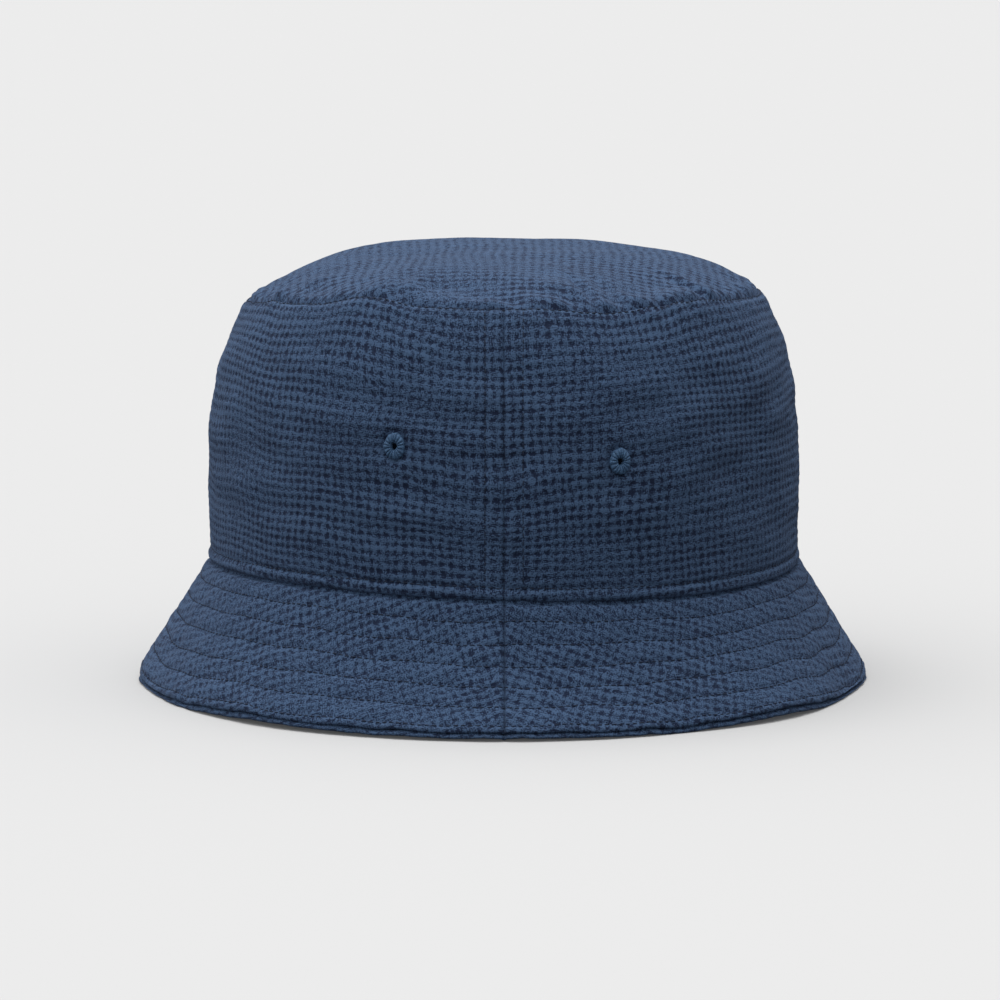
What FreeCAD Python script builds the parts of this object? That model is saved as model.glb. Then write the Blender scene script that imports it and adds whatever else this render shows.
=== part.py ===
"""Soft bucket hat standing on its brim. Millimetres, +Z up, the wearer faces +Y.

The hat is drawn round, then stretched along Y to the oval of a head, so nested layers stay apart.
"""
import FreeCAD, Part
import math
import os

Vector = FreeCAD.Vector

# Overall shape, measured across the hat (X)
HEADLINE_HALF_WIDTH = 90.0      # outside of the crown where it meets the brim
OVAL_RATIO = 1.1                # front-to-back size over side-to-side size
HEADLINE_HEIGHT = 34.4          # height of the seam between crown and brim
BRIM_FLARE = 22.4               # how much further out the brim's edge stands
TIP_SEAM_HALF_WIDTH = 77.9      # outside of the crown at the tip seam
TIP_SEAM_HEIGHT = 116.4
SHOULDER_POWER = 4.4            # how late the crown side starts to lean in
TIP_RISE = 14.7                 # how much the tip domes above its seam
TIP_POWER = 3.6                 # how flat the middle of the tip is

# Cloth and thread
SHELL = 0.8                     # puckered shell cloth
INTERLINING = 0.6
SWEATBAND = 1.0
TAPE = 0.4
LABEL = 0.35
THREAD_RADIUS = 0.2
GAP = 0.1                       # air between two layers
HALF_TURN = 180.0
FULL_TURN = 360.0
SEAM_GAP_ANGLE = 0.1            # air between the edges that meet at a seam, in degrees

# Brim
EDGE_TRIM = 2.0
UNDER_SHOWS = 0.9               # how far the under brim shows below the upper one
INTERLINING_SHORT = 2.0         # how far the interlining stops above the floor
TOPSTITCH_ROWS = 6
FIRST_ROW = 5.5                 # slant distance from the headline to the first row
ROW_PITCH = 6.4

# Crown trim
SWEATBAND_WIDTH = 32.0
SWEATBAND_HEM = 3.0             # stitch rows this far inside the sweatband's edges
CROWN_TOPSTITCH_RISE = 4.0      # row of topstitching above the headline
TWIN_NEEDLE_HALF = 5.5          # each twin row to the centre seam
SEAM_TAPE_WIDTH = 16.0
SEAM_TAPE_FOOT = 1.6            # the vertical tapes start this far above the headline
TIP_TAPE_LOW = 104.0
TIP_TAPE_HIGH = 114.0
TAPE_CLEARANCE = 1.0            # between the vertical tapes and the tape round the tip
TIP_STITCH_DROP = 1.6           # seam thread below the tip seam

# Vent eyelets: degrees from the centre seam, and height
EYELET_LEFT = (-20.7, 79.6)
EYELET_RIGHT = (21.9, 75.2)
EYELET_HOLE_RADIUS = 1.0
EYELET_BARREL_RADIUS = 1.3
EYELET_RING_RADIUS = 3.1
EYELET_RING_THICK = 0.5
EYELET_TALL = 1.2               # height of an eyelet over its width
EYELET_GAP = 0.12

# Labels
WOVEN_LABEL_HALF_ANGLE = 15.0
WOVEN_LABEL_LOW = 84.0
WOVEN_LABEL_HIGH = 100.0
CARE_LABEL_WIDTH = 24.0
CARE_LABEL_HINGE = 61.0         # height of the line that the care label turns about
CARE_LABEL_LENGTH = 25.0
CARE_LABEL_TAB = 4.0            # sewn strip above the hinge line
CARE_LABEL_GAP = 0.3
CARE_LABEL_STANDOFF = 0.7       # between its edges and the sweatband

BRIM_SLANT = math.hypot(BRIM_FLARE, HEADLINE_HEIGHT)
BRIM_COS = HEADLINE_HEIGHT / BRIM_SLANT
PROFILE_STEPS = 12
ORIGIN = Vector(0, 0, 0)
UP = Vector(0, 0, 1)


# ---- Profiles ---------------------------------------------------------------------------------------

def crown_radius(height, depth=0.0):
    """Half-width of the crown side at a height, a depth inside its outer face."""
    rise = max(0.0, height - HEADLINE_HEIGHT) / (TIP_SEAM_HEIGHT - HEADLINE_HEIGHT)
    inset = (HEADLINE_HALF_WIDTH - TIP_SEAM_HALF_WIDTH) * rise ** SHOULDER_POWER
    return HEADLINE_HALF_WIDTH - inset - depth


def tip_height(radius):
    """Height of the tip's outer face at a distance from its middle."""
    return TIP_SEAM_HEIGHT + TIP_RISE * (1.0 - (radius / TIP_SEAM_HALF_WIDTH) ** TIP_POWER)


def brim_radius(height, depth):
    """Half-width of the brim at a height, a depth below its upper face."""
    drop = HEADLINE_HEIGHT - height
    return HEADLINE_HALF_WIDTH + drop * BRIM_FLARE / HEADLINE_HEIGHT - depth / BRIM_COS


def steps(low, high, count=PROFILE_STEPS):
    """Evenly spaced values from low to high, both included."""
    return [low + (high - low) * index / count for index in range(count + 1)]


def spline(points):
    """Smooth edge through points given as (radius, height)."""
    curve = Part.BSplineCurve()
    curve.interpolate([Vector(radius, 0, height) for radius, height in points])
    return curve.toShape()


def line(start, end):
    """Straight edge between two points given as (radius, height)."""
    return Part.makeLine(Vector(start[0], 0, start[1]), Vector(end[0], 0, end[1]))


def oval(shape):
    """Stretch a round shape front to back."""
    matrix = FreeCAD.Matrix()
    matrix.scale(1.0, OVAL_RATIO, 1.0)
    return shape.transformGeometry(matrix)


def turned(face, start, sweep):
    """Turn a profile face about the hat's axis from an angle, and make it oval."""
    solid = face.revolve(ORIGIN, UP, sweep)
    solid.rotate(ORIGIN, UP, start)
    return oval(solid)


def halves(face):
    """Left and right halves of a turned profile, which meet at the front and back seams."""
    sweep = HALF_TURN - SEAM_GAP_ANGLE
    left = turned(face, 90.0 + SEAM_GAP_ANGLE / 2, sweep)
    right = turned(face, -90.0 + SEAM_GAP_ANGLE / 2, sweep)
    return {"left": left, "right": right}


def wall_face(low, high, depth, thickness):
    """Profile of a layer that follows the crown side between two heights."""
    outer = [(crown_radius(height, depth), height) for height in steps(low, high)]
    inner = [(crown_radius(height, depth + thickness), height) for height in steps(low, high)]
    edges = [spline(outer), line(outer[-1], inner[-1]), spline(inner), line(inner[0], outer[0])]
    return Part.Face(Part.Wire(Part.__sortEdges__(edges)))


def brim_face(low, high, depth, thickness):
    """Profile of a layer that follows the brim between two heights."""
    corners = [
        (brim_radius(low, depth), low),
        (brim_radius(high, depth), high),
        (brim_radius(high, depth + thickness), high),
        (brim_radius(low, depth + thickness), low),
    ]
    points = [Vector(radius, 0, height) for radius, height in corners]
    return Part.Face(Part.makePolygon(points + points[:1]))


def wall_patch(middle, half_angle, low, high, depth, thickness):
    """Piece of cloth on the crown side, centred on an angle from +X."""
    return turned(wall_face(low, high, depth, thickness), middle - half_angle, 2 * half_angle)


def thread_ring(radius, height):
    """Thread of six-sided section that runs once round the hat."""
    turns = [index * math.pi / 3 for index in range(6)]
    points = [
        Vector(radius + THREAD_RADIUS * math.cos(turn), 0, height + THREAD_RADIUS * math.sin(turn))
        for turn in turns
    ]
    return turned(Part.Face(Part.makePolygon(points + points[:1])), 0.0, FULL_TURN)


def wall_angle(arc_length):
    """Angle that an arc of this length spans on the crown."""
    return math.degrees(arc_length / HEADLINE_HALF_WIDTH)


# ---- Crown ------------------------------------------------------------------------------------------

def crown_tip():
    """Oval top panel, a shallow dome."""
    radii = steps(0.0, TIP_SEAM_HALF_WIDTH)
    outer = [(radius, tip_height(radius)) for radius in radii]
    inner = [(radius, tip_height(radius) - SHELL) for radius in radii]
    edges = [spline(outer), line(outer[-1], inner[-1]), spline(inner), line(inner[0], outer[0])]
    face = Part.Face(Part.Wire(Part.__sortEdges__(edges)))
    return turned(face, 0.0, FULL_TURN)


def eyelet_place(angle, height, front):
    """Placement of an eyelet on the crown: local Z points out of the cloth, local Y up."""
    turn = math.radians(angle)
    side = 1.0 if front else -1.0
    radius = crown_radius(height)
    slope = crown_radius(height - 0.5) - crown_radius(height + 0.5)
    point = Vector(radius * math.sin(turn), side * OVAL_RATIO * radius * math.cos(turn), height)
    normal = Vector(math.sin(turn), side * math.cos(turn) / OVAL_RATIO, slope)
    normal.normalize()
    across = UP.cross(normal)
    across.normalize()
    rotation = FreeCAD.Rotation(across, normal.cross(across), normal, "ZXY")
    return FreeCAD.Placement(point, rotation)


def eyelet_shape(face_points):
    """Turn an eyelet profile about its own axis and stretch it to its oval."""
    points = [Vector(radius, 0, height) for radius, height in face_points]
    solid = Part.Face(Part.makePolygon(points + points[:1])).revolve(ORIGIN, UP, FULL_TURN)
    matrix = FreeCAD.Matrix()
    matrix.scale(1.0, EYELET_TALL, 1.0)
    return solid.transformGeometry(matrix)


def embroidered_eyelet(placement):
    """Ring of thread on both faces of the cloth, joined through the hole."""
    back = -SHELL * OVAL_RATIO - EYELET_GAP
    lip = EYELET_RING_RADIUS - EYELET_RING_THICK
    ring = eyelet_shape([
        (EYELET_HOLE_RADIUS, back - EYELET_RING_THICK),
        (lip, back - EYELET_RING_THICK),
        (EYELET_RING_RADIUS, back),
        (EYELET_BARREL_RADIUS, back),
        (EYELET_BARREL_RADIUS, EYELET_GAP),
        (EYELET_RING_RADIUS, EYELET_GAP),
        (lip, EYELET_GAP + EYELET_RING_THICK),
        (EYELET_HOLE_RADIUS, EYELET_GAP + EYELET_RING_THICK),
    ])
    ring.Placement = placement
    return ring


def eyelet_hole(placement):
    """Punch for the cloth that an eyelet goes through."""
    radius = EYELET_BARREL_RADIUS + EYELET_GAP
    reach = EYELET_RING_RADIUS
    punch = eyelet_shape([(0, -reach), (radius, -reach), (radius, reach), (0, reach)])
    punch.Placement = placement
    return punch


def eyelet_places():
    """Name, side and placement of the four eyelets."""
    places = []
    for end, front in (("back", False), ("front", True)):
        places.append((end + "_left", "left", eyelet_place(*EYELET_LEFT, front)))
        places.append((end + "_right", "right", eyelet_place(*EYELET_RIGHT, front)))
    return places


def crown_side():
    """Left and right crown panels with the holes of their eyelets."""
    top = TIP_SEAM_HEIGHT - SHELL - GAP
    panels = halves(wall_face(HEADLINE_HEIGHT, top, 0.0, SHELL))
    for _, side, placement in eyelet_places():
        panels[side] = panels[side].cut(eyelet_hole(placement)).Solids[0]
    return {"crown_side_" + side: panel for side, panel in panels.items()}


def eyelets():
    """The four eyelets, one node each."""
    return {"eyelet_" + name: embroidered_eyelet(placement) for name, _, placement in eyelet_places()}


# ---- Brim -------------------------------------------------------------------------------------------

def level_edge(solid):
    """Solid trimmed flat at the surface that the hat stands on."""
    half = 2 * HEADLINE_HALF_WIDTH
    return solid.cut(Part.makeBox(2 * half, 2 * half, EDGE_TRIM, Vector(-half, -half, -EDGE_TRIM)))


def brim():
    """Upper brim, interlining and under brim, each in two halves."""
    filler_depth = SHELL + GAP
    under_depth = filler_depth + INTERLINING + GAP
    layers = {
        "brim_upper_": brim_face(UNDER_SHOWS, HEADLINE_HEIGHT, 0.0, SHELL),
        "brim_interlining_": brim_face(INTERLINING_SHORT, HEADLINE_HEIGHT, filler_depth, INTERLINING),
        "brim_under_": brim_face(-EDGE_TRIM / 2, HEADLINE_HEIGHT, under_depth, SHELL),
    }
    nodes = {}
    for name, face in layers.items():
        for side, solid in halves(face).items():
            nodes[name + side] = level_edge(solid)
    return nodes


def brim_rows(depth):
    """Rows of thread round the brim, a depth below its upper face."""
    rings = []
    for row in range(TOPSTITCH_ROWS):
        height = HEADLINE_HEIGHT - (FIRST_ROW + row * ROW_PITCH) * BRIM_COS
        rings.append(thread_ring(brim_radius(height, depth), height))
    return Part.makeCompound(rings)


def brim_threads():
    """Needle thread above the brim, bobbin thread below it, and the thread of its turned edge."""
    proud = THREAD_RADIUS + GAP
    below = 2 * SHELL + INTERLINING + 2 * GAP + proud
    edge_depth = SHELL + GAP + INTERLINING / 2
    edge_height = UNDER_SHOWS + THREAD_RADIUS
    return {
        "brim_topstitching": brim_rows(-proud),
        "brim_bobbin_stitching": brim_rows(below),
        "brim_edge_seam": thread_ring(brim_radius(edge_height, edge_depth), edge_height),
    }


# ---- Trim inside the crown --------------------------------------------------------------------------

def sweatband_depth():
    """Depth of the sweatband's outer face inside the crown's outer face."""
    return SHELL + GAP + TAPE + GAP


def sweatband():
    """Band round the head opening, its ends meeting at the back."""
    high = HEADLINE_HEIGHT + SWEATBAND_WIDTH
    face = wall_face(HEADLINE_HEIGHT, high, sweatband_depth(), SWEATBAND)
    return {"sweatband": turned(face, -90.0 + SEAM_GAP_ANGLE / 2, FULL_TURN - SEAM_GAP_ANGLE)}


def sweatband_stitching():
    """Rows of thread along the sweatband's two edges, on its inner face."""
    depth = sweatband_depth() + SWEATBAND + GAP + THREAD_RADIUS
    heights = (HEADLINE_HEIGHT + SWEATBAND_HEM, HEADLINE_HEIGHT + SWEATBAND_WIDTH - SWEATBAND_HEM)
    rings = [thread_ring(crown_radius(height, depth), height) for height in heights]
    return {"sweatband_stitching": Part.makeCompound(rings)}


def seam_tapes():
    """Tapes over the raw seams at the back, at the front and round the tip."""
    depth = SHELL + GAP
    foot = HEADLINE_HEIGHT + SEAM_TAPE_FOOT
    top = TIP_TAPE_LOW - TAPE_CLEARANCE
    half_angle = wall_angle(SEAM_TAPE_WIDTH / 2)
    ring = wall_face(TIP_TAPE_LOW, TIP_TAPE_HIGH, depth, TAPE)
    return {
        "seam_tape_back": wall_patch(-90.0, half_angle, foot, top, depth, TAPE),
        "seam_tape_front": wall_patch(90.0, half_angle, foot, top, depth, TAPE),
        "seam_tape_tip": turned(ring, 0.0, FULL_TURN),
    }


# ---- Threads of the crown ---------------------------------------------------------------------------

def twin_rows(middle):
    """Two rows of topstitching, one each side of a centre seam."""
    low = HEADLINE_HEIGHT + 2 * CROWN_TOPSTITCH_RISE
    high = TIP_SEAM_HEIGHT - CROWN_TOPSTITCH_RISE
    thread = 2 * THREAD_RADIUS
    half_angle = wall_angle(THREAD_RADIUS)
    offset = wall_angle(TWIN_NEEDLE_HALF)
    rows = [
        wall_patch(middle + side * offset, half_angle, low, high, -GAP - thread, thread)
        for side in (-1, 1)
    ]
    return Part.makeCompound(rows)


def crown_threads():
    """Topstitching outside the crown and the seam thread inside the tip seam."""
    topstitch_height = HEADLINE_HEIGHT + CROWN_TOPSTITCH_RISE
    topstitch_radius = crown_radius(topstitch_height) + GAP + THREAD_RADIUS
    seam_height = TIP_SEAM_HEIGHT - TIP_STITCH_DROP
    seam_radius = crown_radius(seam_height, SHELL + GAP + THREAD_RADIUS)
    return {
        "headline_topstitching": thread_ring(topstitch_radius, topstitch_height),
        "tip_seam_stitching": thread_ring(seam_radius, seam_height),
        "back_seam_topstitching": twin_rows(-90.0),
        "front_seam_topstitching": twin_rows(90.0),
    }


# ---- Labels -----------------------------------------------------------------------------------------

def woven_label():
    """Blank woven label across the back tape, and the thread down its two ends."""
    depth = SHELL + GAP + TAPE + GAP
    half_angle = WOVEN_LABEL_HALF_ANGLE
    face_depth = depth + LABEL + GAP / 2
    thread = 2 * THREAD_RADIUS
    ends = [
        wall_patch(-90.0 + side * (half_angle - 1.0), wall_angle(THREAD_RADIUS),
                   WOVEN_LABEL_LOW + 1.0, WOVEN_LABEL_HIGH - 1.0, face_depth, thread)
        for side in (-1, 1)
    ]
    return {
        "woven_label": wall_patch(-90.0, half_angle, WOVEN_LABEL_LOW, WOVEN_LABEL_HIGH, depth, LABEL),
        "woven_label_stitching": Part.makeCompound(ends),
    }


def care_label_plane():
    """X of the care label's outer face, clear of the curved sweatband at the label's edges."""
    inner = crown_radius(CARE_LABEL_HINGE, sweatband_depth() + SWEATBAND)
    edge = CARE_LABEL_WIDTH / 2 / (inner * OVAL_RATIO)
    return -inner * math.sqrt(1.0 - edge * edge) + CARE_LABEL_STANDOFF


def care_label():
    """Blank care label on the left: a strip sewn to the sweatband and the flap below it."""
    plane = care_label_plane()
    half = CARE_LABEL_WIDTH / 2
    tab_low = CARE_LABEL_HINGE + CARE_LABEL_GAP
    flap_low = CARE_LABEL_HINGE - CARE_LABEL_GAP - CARE_LABEL_LENGTH
    tab = Part.makeBox(LABEL, CARE_LABEL_WIDTH, CARE_LABEL_TAB, Vector(plane, -half, tab_low))
    flap = Part.makeBox(LABEL, CARE_LABEL_WIDTH, CARE_LABEL_LENGTH, Vector(plane, -half, flap_low))
    thread_x = plane + LABEL + GAP / 2 + THREAD_RADIUS
    thread_base = Vector(thread_x, 1.0 - half, tab_low + CARE_LABEL_TAB / 2)
    thread = Part.makeCylinder(THREAD_RADIUS, CARE_LABEL_WIDTH - 2.0, thread_base, Vector(0, 1, 0))
    return {"care_label_tab": tab, "care_label_flap": flap, "care_label_stitching": thread}


def build():
    """All nodes of the hat by name."""
    nodes = {"crown_tip": crown_tip()}
    groups = (
        crown_side, eyelets, brim, brim_threads, sweatband, sweatband_stitching,
        seam_tapes, crown_threads, woven_label, care_label,
    )
    for make in groups:
        nodes.update(make())
    return nodes


os.makedirs("parts", exist_ok=True)
for node, shape in build().items():
    shape.exportStep("parts/" + node + ".step")
    print(node, len(shape.Solids), "solid(s), valid", shape.isValid(), "volume", round(shape.Volume, 1))
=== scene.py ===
"""Soft bucket hat standing on its brim. Metres, +Z up, the wearer faces +Y, the back seam is at -Y.

Every cloth layer is laid on one form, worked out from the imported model, so the layers keep their order.
Places on the hat are an angle from the centre back, positive towards +X, and a distance over the cloth.
Reliefs are worked out in millimetres and turned into metres last.
"""
import logging
import math
from dataclasses import dataclass
from enum import Enum

import bpy
import numpy as np
from mathutils import Matrix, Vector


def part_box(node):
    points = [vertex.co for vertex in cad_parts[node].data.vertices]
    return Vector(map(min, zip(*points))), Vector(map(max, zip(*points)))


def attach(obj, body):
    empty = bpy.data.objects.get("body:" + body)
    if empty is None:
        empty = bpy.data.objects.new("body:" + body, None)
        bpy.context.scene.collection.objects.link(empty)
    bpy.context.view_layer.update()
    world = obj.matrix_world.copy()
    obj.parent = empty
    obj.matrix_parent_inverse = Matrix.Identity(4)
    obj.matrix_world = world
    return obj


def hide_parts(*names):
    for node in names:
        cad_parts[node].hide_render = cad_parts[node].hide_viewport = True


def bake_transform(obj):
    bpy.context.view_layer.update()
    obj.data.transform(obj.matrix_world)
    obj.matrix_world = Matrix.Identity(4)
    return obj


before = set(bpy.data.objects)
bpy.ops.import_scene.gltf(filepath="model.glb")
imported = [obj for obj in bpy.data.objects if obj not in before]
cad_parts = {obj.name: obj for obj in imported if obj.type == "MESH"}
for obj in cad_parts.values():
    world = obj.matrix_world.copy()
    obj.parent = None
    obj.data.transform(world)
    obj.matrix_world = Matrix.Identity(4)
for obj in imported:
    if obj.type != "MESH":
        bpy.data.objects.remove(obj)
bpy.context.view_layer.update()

LOG = logging.getLogger("bucket_hat")
Color = tuple[float, float, float, float]
Scale = tuple[float, float, float]
Pair = tuple[float, float]

MM = 0.001

SHELL = 0.8 * MM
LAYER_GAP = 0.1 * MM
TAPE = 0.4 * MM
SWEATBAND = 1.0 * MM
INTERLINING = 0.6 * MM
LABEL = 0.35 * MM
THREAD = 0.2 * MM
LABEL_THREAD = 0.15 * MM
STITCH_PITCH = 2.1 * MM
STITCH_LENGTH = 1.55 * MM
CELL_ACROSS = 2.9 * MM
CELL_UP = 2.6 * MM
BRIM_ROWS = 6
FIRST_ROW = 5.5 * MM
ROW_PITCH = 6.4 * MM
HEADLINE_ROW = 4.0 * MM
TWIN_HALF = 5.5 * MM
SWEATBAND_WIDTH = 32.0 * MM
BODY = "hat"


class Side(Enum):
    """Half of the hat that a panel belongs to, with its range of angles from the centre back."""

    LEFT = ("left", -math.pi, 0.0)
    RIGHT = ("right", 0.0, math.pi)

    @property
    def word(self) -> str:
        """Name used in node names."""
        return self.value[0]

    @property
    def angles(self) -> Pair:
        """First and last angle of the half."""
        return self.value[1:]


class Slot(Enum):
    """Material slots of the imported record."""

    SHELL = "shell_cloth"
    THREAD = "thread"
    TAPE = "tape"
    SWEATBAND = "sweatband"
    INTERLINING = "interlining"
    LABEL = "label"


# ---- Helpers ----------------------------------------------------------------------------------------

def bell(distance: np.ndarray, width: float) -> np.ndarray:
    """One at zero distance, fading to nothing over about two widths."""
    return np.exp(-((distance / width) ** 2))


def ramp(value: np.ndarray, low: float, high: float) -> np.ndarray:
    """Smooth step from 0 at low to 1 at high."""
    t = np.clip((value - low) / (high - low), 0.0, 1.0)
    return t * t * (3.0 - 2.0 * t)


def wrapped(turn: np.ndarray) -> np.ndarray:
    """Turn brought to within half a circle of zero."""
    return (turn + math.pi) % math.tau - math.pi


def together(*values: np.ndarray) -> np.ndarray:
    """Values on one grid, side by side along a new last axis."""
    return np.stack(np.broadcast_arrays(*values), -1)


def add_object(name: str, data: bpy.types.ID) -> bpy.types.Object:
    """Put a new object in the scene.

    Args:
        name: name of the object.
        data: its mesh, lamp or camera.

    Returns:
        The object.
    """
    made = bpy.data.objects.new(name, data)
    bpy.context.scene.collection.objects.link(made)
    return made


class Unevenness:
    """Smooth fixed variation through space, about -1 to 1, made of a few crossed waves."""

    LENGTHS = (0.75, 1.6)
    LOUDNESS = 1.25

    def __init__(self, seed: int, size: float, flatness: float = 1.0, waves: int = 14) -> None:
        """Draw the waves.

        Args:
            seed: fixes the pattern.
            size: typical wavelength in metres.
            flatness: how many times shorter the waves are up and down than level.
            waves: number of waves added up.
        """
        rng = np.random.default_rng(seed)
        directions = rng.normal(size=(waves, 3))
        directions /= np.linalg.norm(directions, axis=1, keepdims=True)
        lengths = size * rng.uniform(*self.LENGTHS, waves)
        self.vectors = directions * (math.tau / lengths)[:, None] * (1.0, 1.0, flatness)
        self.phases = rng.uniform(0, math.tau, waves)
        self.scale = self.LOUDNESS / math.sqrt(waves)

    def __call__(self, points: np.ndarray) -> np.ndarray:
        """Variation at each point.

        Args:
            points: points in any layout.

        Returns:
            One number for each point.
        """
        total = np.zeros(points.shape[:-1])
        for vector, phase in zip(self.vectors, self.phases):
            total += np.sin(points @ vector + phase)
        return total * self.scale


@dataclass(frozen=True)
class Fold:
    """Crease or rise at an angle, with its height and its half-width in degrees."""

    degrees: float
    height: float
    width: float

    def off(self, angle: np.ndarray) -> np.ndarray:
        """Turn from the fold to each angle."""
        return wrapped(angle - math.radians(self.degrees))

    def at(self, angle: np.ndarray) -> np.ndarray:
        """Height of the fold at each angle."""
        return self.height * bell(self.off(angle), math.radians(self.width))


@dataclass(frozen=True)
class Ridge:
    """Ridge or groove beside a line: how far from the line it is, its size in millimetres and its width."""

    offset: float
    size: float
    width: float

    def __call__(self, distance: np.ndarray) -> np.ndarray:
        """Size at each distance from the line."""
        return self.size * bell(distance - self.offset, self.width)


# ---- The form ---------------------------------------------------------------------------------------

STAND_OFF = 2.0 * MM
STANDS = (Fold(-74.0, STAND_OFF, 16.0), Fold(78.0, STAND_OFF, 16.0), Fold(180.0, STAND_OFF, 45.0))
STAND_GATHERING = 1.5
HEADLINE_LIFT = 0.35
HEADLINE_TILT = 1.35
HEADLINE_REACH = 21.0 * MM


@dataclass(frozen=True)
class HatForm:
    """Smooth outer surface of the hat, an oval turned shape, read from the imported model."""

    half_width: float
    oval: float
    headline: float
    tip_half: float
    tip_seam: float
    top: float
    flare_rate: float
    shoulder_power: float = 4.4
    tip_power: float = 3.6
    samples: int = 400

    @classmethod
    def from_frame(cls) -> "HatForm":
        """Read the form from the crown, tip and brim nodes.

        Returns:
            The form.
        """
        side_low, side_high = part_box("crown_side_left")
        tip_low, tip_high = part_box("crown_tip")
        brim_low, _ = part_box("brim_upper_left")
        half = -side_low[0]
        return cls(
            half_width=half,
            oval=side_high[1] / half,
            headline=side_low[2],
            tip_half=tip_high[0],
            tip_seam=tip_low[2] + SHELL,
            top=tip_high[2],
            flare_rate=(-brim_low[0] - half) / (side_low[2] - brim_low[2]),
        )

    def crown_table(self) -> tuple[np.ndarray, np.ndarray, np.ndarray]:
        """Profile of the crown side.

        Returns:
            Radius, height and distance over the cloth, from the headline to the tip seam.
        """
        rise = np.linspace(0.0, 1.0, self.samples)
        radius = self.half_width - (self.half_width - self.tip_half) * rise ** self.shoulder_power
        height = self.headline + (self.tip_seam - self.headline) * rise
        distance = np.concatenate([[0.0], np.cumsum(np.hypot(np.diff(radius), np.diff(height)))])
        return radius, height, distance

    @property
    def crown_length(self) -> float:
        """Distance over the crown side from the headline to the tip seam."""
        return float(self.crown_table()[2][-1])

    @property
    def brim_length(self) -> float:
        """Slant distance from the headline to the brim's edge."""
        return self.headline * math.hypot(1.0, self.flare_rate)

    @property
    def half_round(self) -> float:
        """Distance round the headline from the centre back to the centre front."""
        return float(self.arc(np.array(math.pi)))

    def arc(self, angle: np.ndarray) -> np.ndarray:
        """Distance round the headline from the centre back.

        Args:
            angle: angles within two turns.

        Returns:
            The distance to each angle, negative on the left.
        """
        table = np.linspace(-2 * math.pi, 2 * math.pi, 8 * self.samples)
        speed = self.half_width * np.hypot(np.cos(table), self.oval * np.sin(table))
        length = np.concatenate([[0.0], np.cumsum((speed[1:] + speed[:-1]) / 2 * np.diff(table))])
        return np.interp(angle, table, length - np.interp(0.0, table, length))

    def seam_distance(self, arc: np.ndarray) -> np.ndarray:
        """Distance round the headline to the nearer of the back and front seams."""
        return np.minimum(np.abs(arc), np.abs(self.half_round - np.abs(arc)))

    def angle_of(self, points: np.ndarray) -> np.ndarray:
        """Angle from the centre back of each point."""
        return np.arctan2(points[..., 0], -points[..., 1] / self.oval)

    def turned(self, angle: np.ndarray, radius: np.ndarray, height: np.ndarray,
               d_radius: np.ndarray, d_height: np.ndarray) -> tuple[np.ndarray, np.ndarray]:
        """Points and normals of the turned surface.

        Args:
            angle: angle from the centre back.
            radius: half-width at each place.
            height: height at each place.
            d_radius: how the radius changes going up the cloth.
            d_height: how the height changes going up the cloth.

        Returns:
            Points and outward unit normals.
        """
        sin, cos = np.sin(angle), np.cos(angle)
        points = together(radius * sin, -self.oval * radius * cos, height)
        normal = together(self.oval * sin * d_height, -cos * d_height, -self.oval * d_radius)
        normal /= np.linalg.norm(normal, axis=-1, keepdims=True)
        return points, normal

    def crown(self, angle: np.ndarray, distance: np.ndarray) -> tuple[np.ndarray, np.ndarray]:
        """Crown side.

        Args:
            angle: angle from the centre back.
            distance: distance above the headline.

        Returns:
            Points and outward unit normals.
        """
        radius, height, length = self.crown_table()
        slopes = np.gradient(radius, length), np.gradient(height, length)
        values = [np.interp(distance, length, table) for table in (radius, height, *slopes)]
        return self.turned(angle, *values)

    def brim(self, angle: np.ndarray, distance: np.ndarray) -> tuple[np.ndarray, np.ndarray]:
        """Brim.

        Args:
            angle: angle from the centre back.
            distance: slant distance below the headline.

        Returns:
            Points and upward unit normals.
        """
        share = distance / self.brim_length
        height = self.headline * (1.0 - share)
        radius = self.half_width + self.flare_rate * self.headline * share
        return self.turned(angle, radius, height, -self.flare_rate, 1.0)

    def tip(self, angle: np.ndarray, share: np.ndarray) -> tuple[np.ndarray, np.ndarray]:
        """Tip.

        Args:
            angle: angle from the centre back.
            share: share of the way from its middle to its seam.

        Returns:
            Points and upward unit normals.
        """
        rise = self.top - self.tip_seam
        radius = self.tip_half * share
        height = self.tip_seam + rise * (1.0 - share ** self.tip_power)
        slope = rise * self.tip_power * share ** (self.tip_power - 1.0) / self.tip_half
        return self.turned(angle, radius, height, -1.0, slope)

    def settle(self, points: np.ndarray) -> np.ndarray:
        """Uneven sag of the soft hat.

        The headline rides higher on the left and lower on the right, and the brim stands on the floor in a few
        places only, clear of it between them.

        Args:
            points: points on or near the form.

        Returns:
            The points where the sag takes them.
        """
        angle = self.angle_of(points)
        settled = points.copy()
        tilt = (HEADLINE_LIFT - HEADLINE_TILT * np.sin(2.0 * angle)) * MM
        settled[..., 2] += tilt * bell(points[..., 2] - self.headline, HEADLINE_REACH)
        down = np.zeros_like(angle)
        for fold in STANDS:
            down = np.maximum(down, fold.at(angle))
        below = np.clip(1.0 - points[..., 2] / self.headline, 0.0, 1.0)
        settled[..., 2] += STAND_OFF - down * below ** STAND_GATHERING
        return settled


# ---- Meshes -----------------------------------------------------------------------------------------

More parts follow.
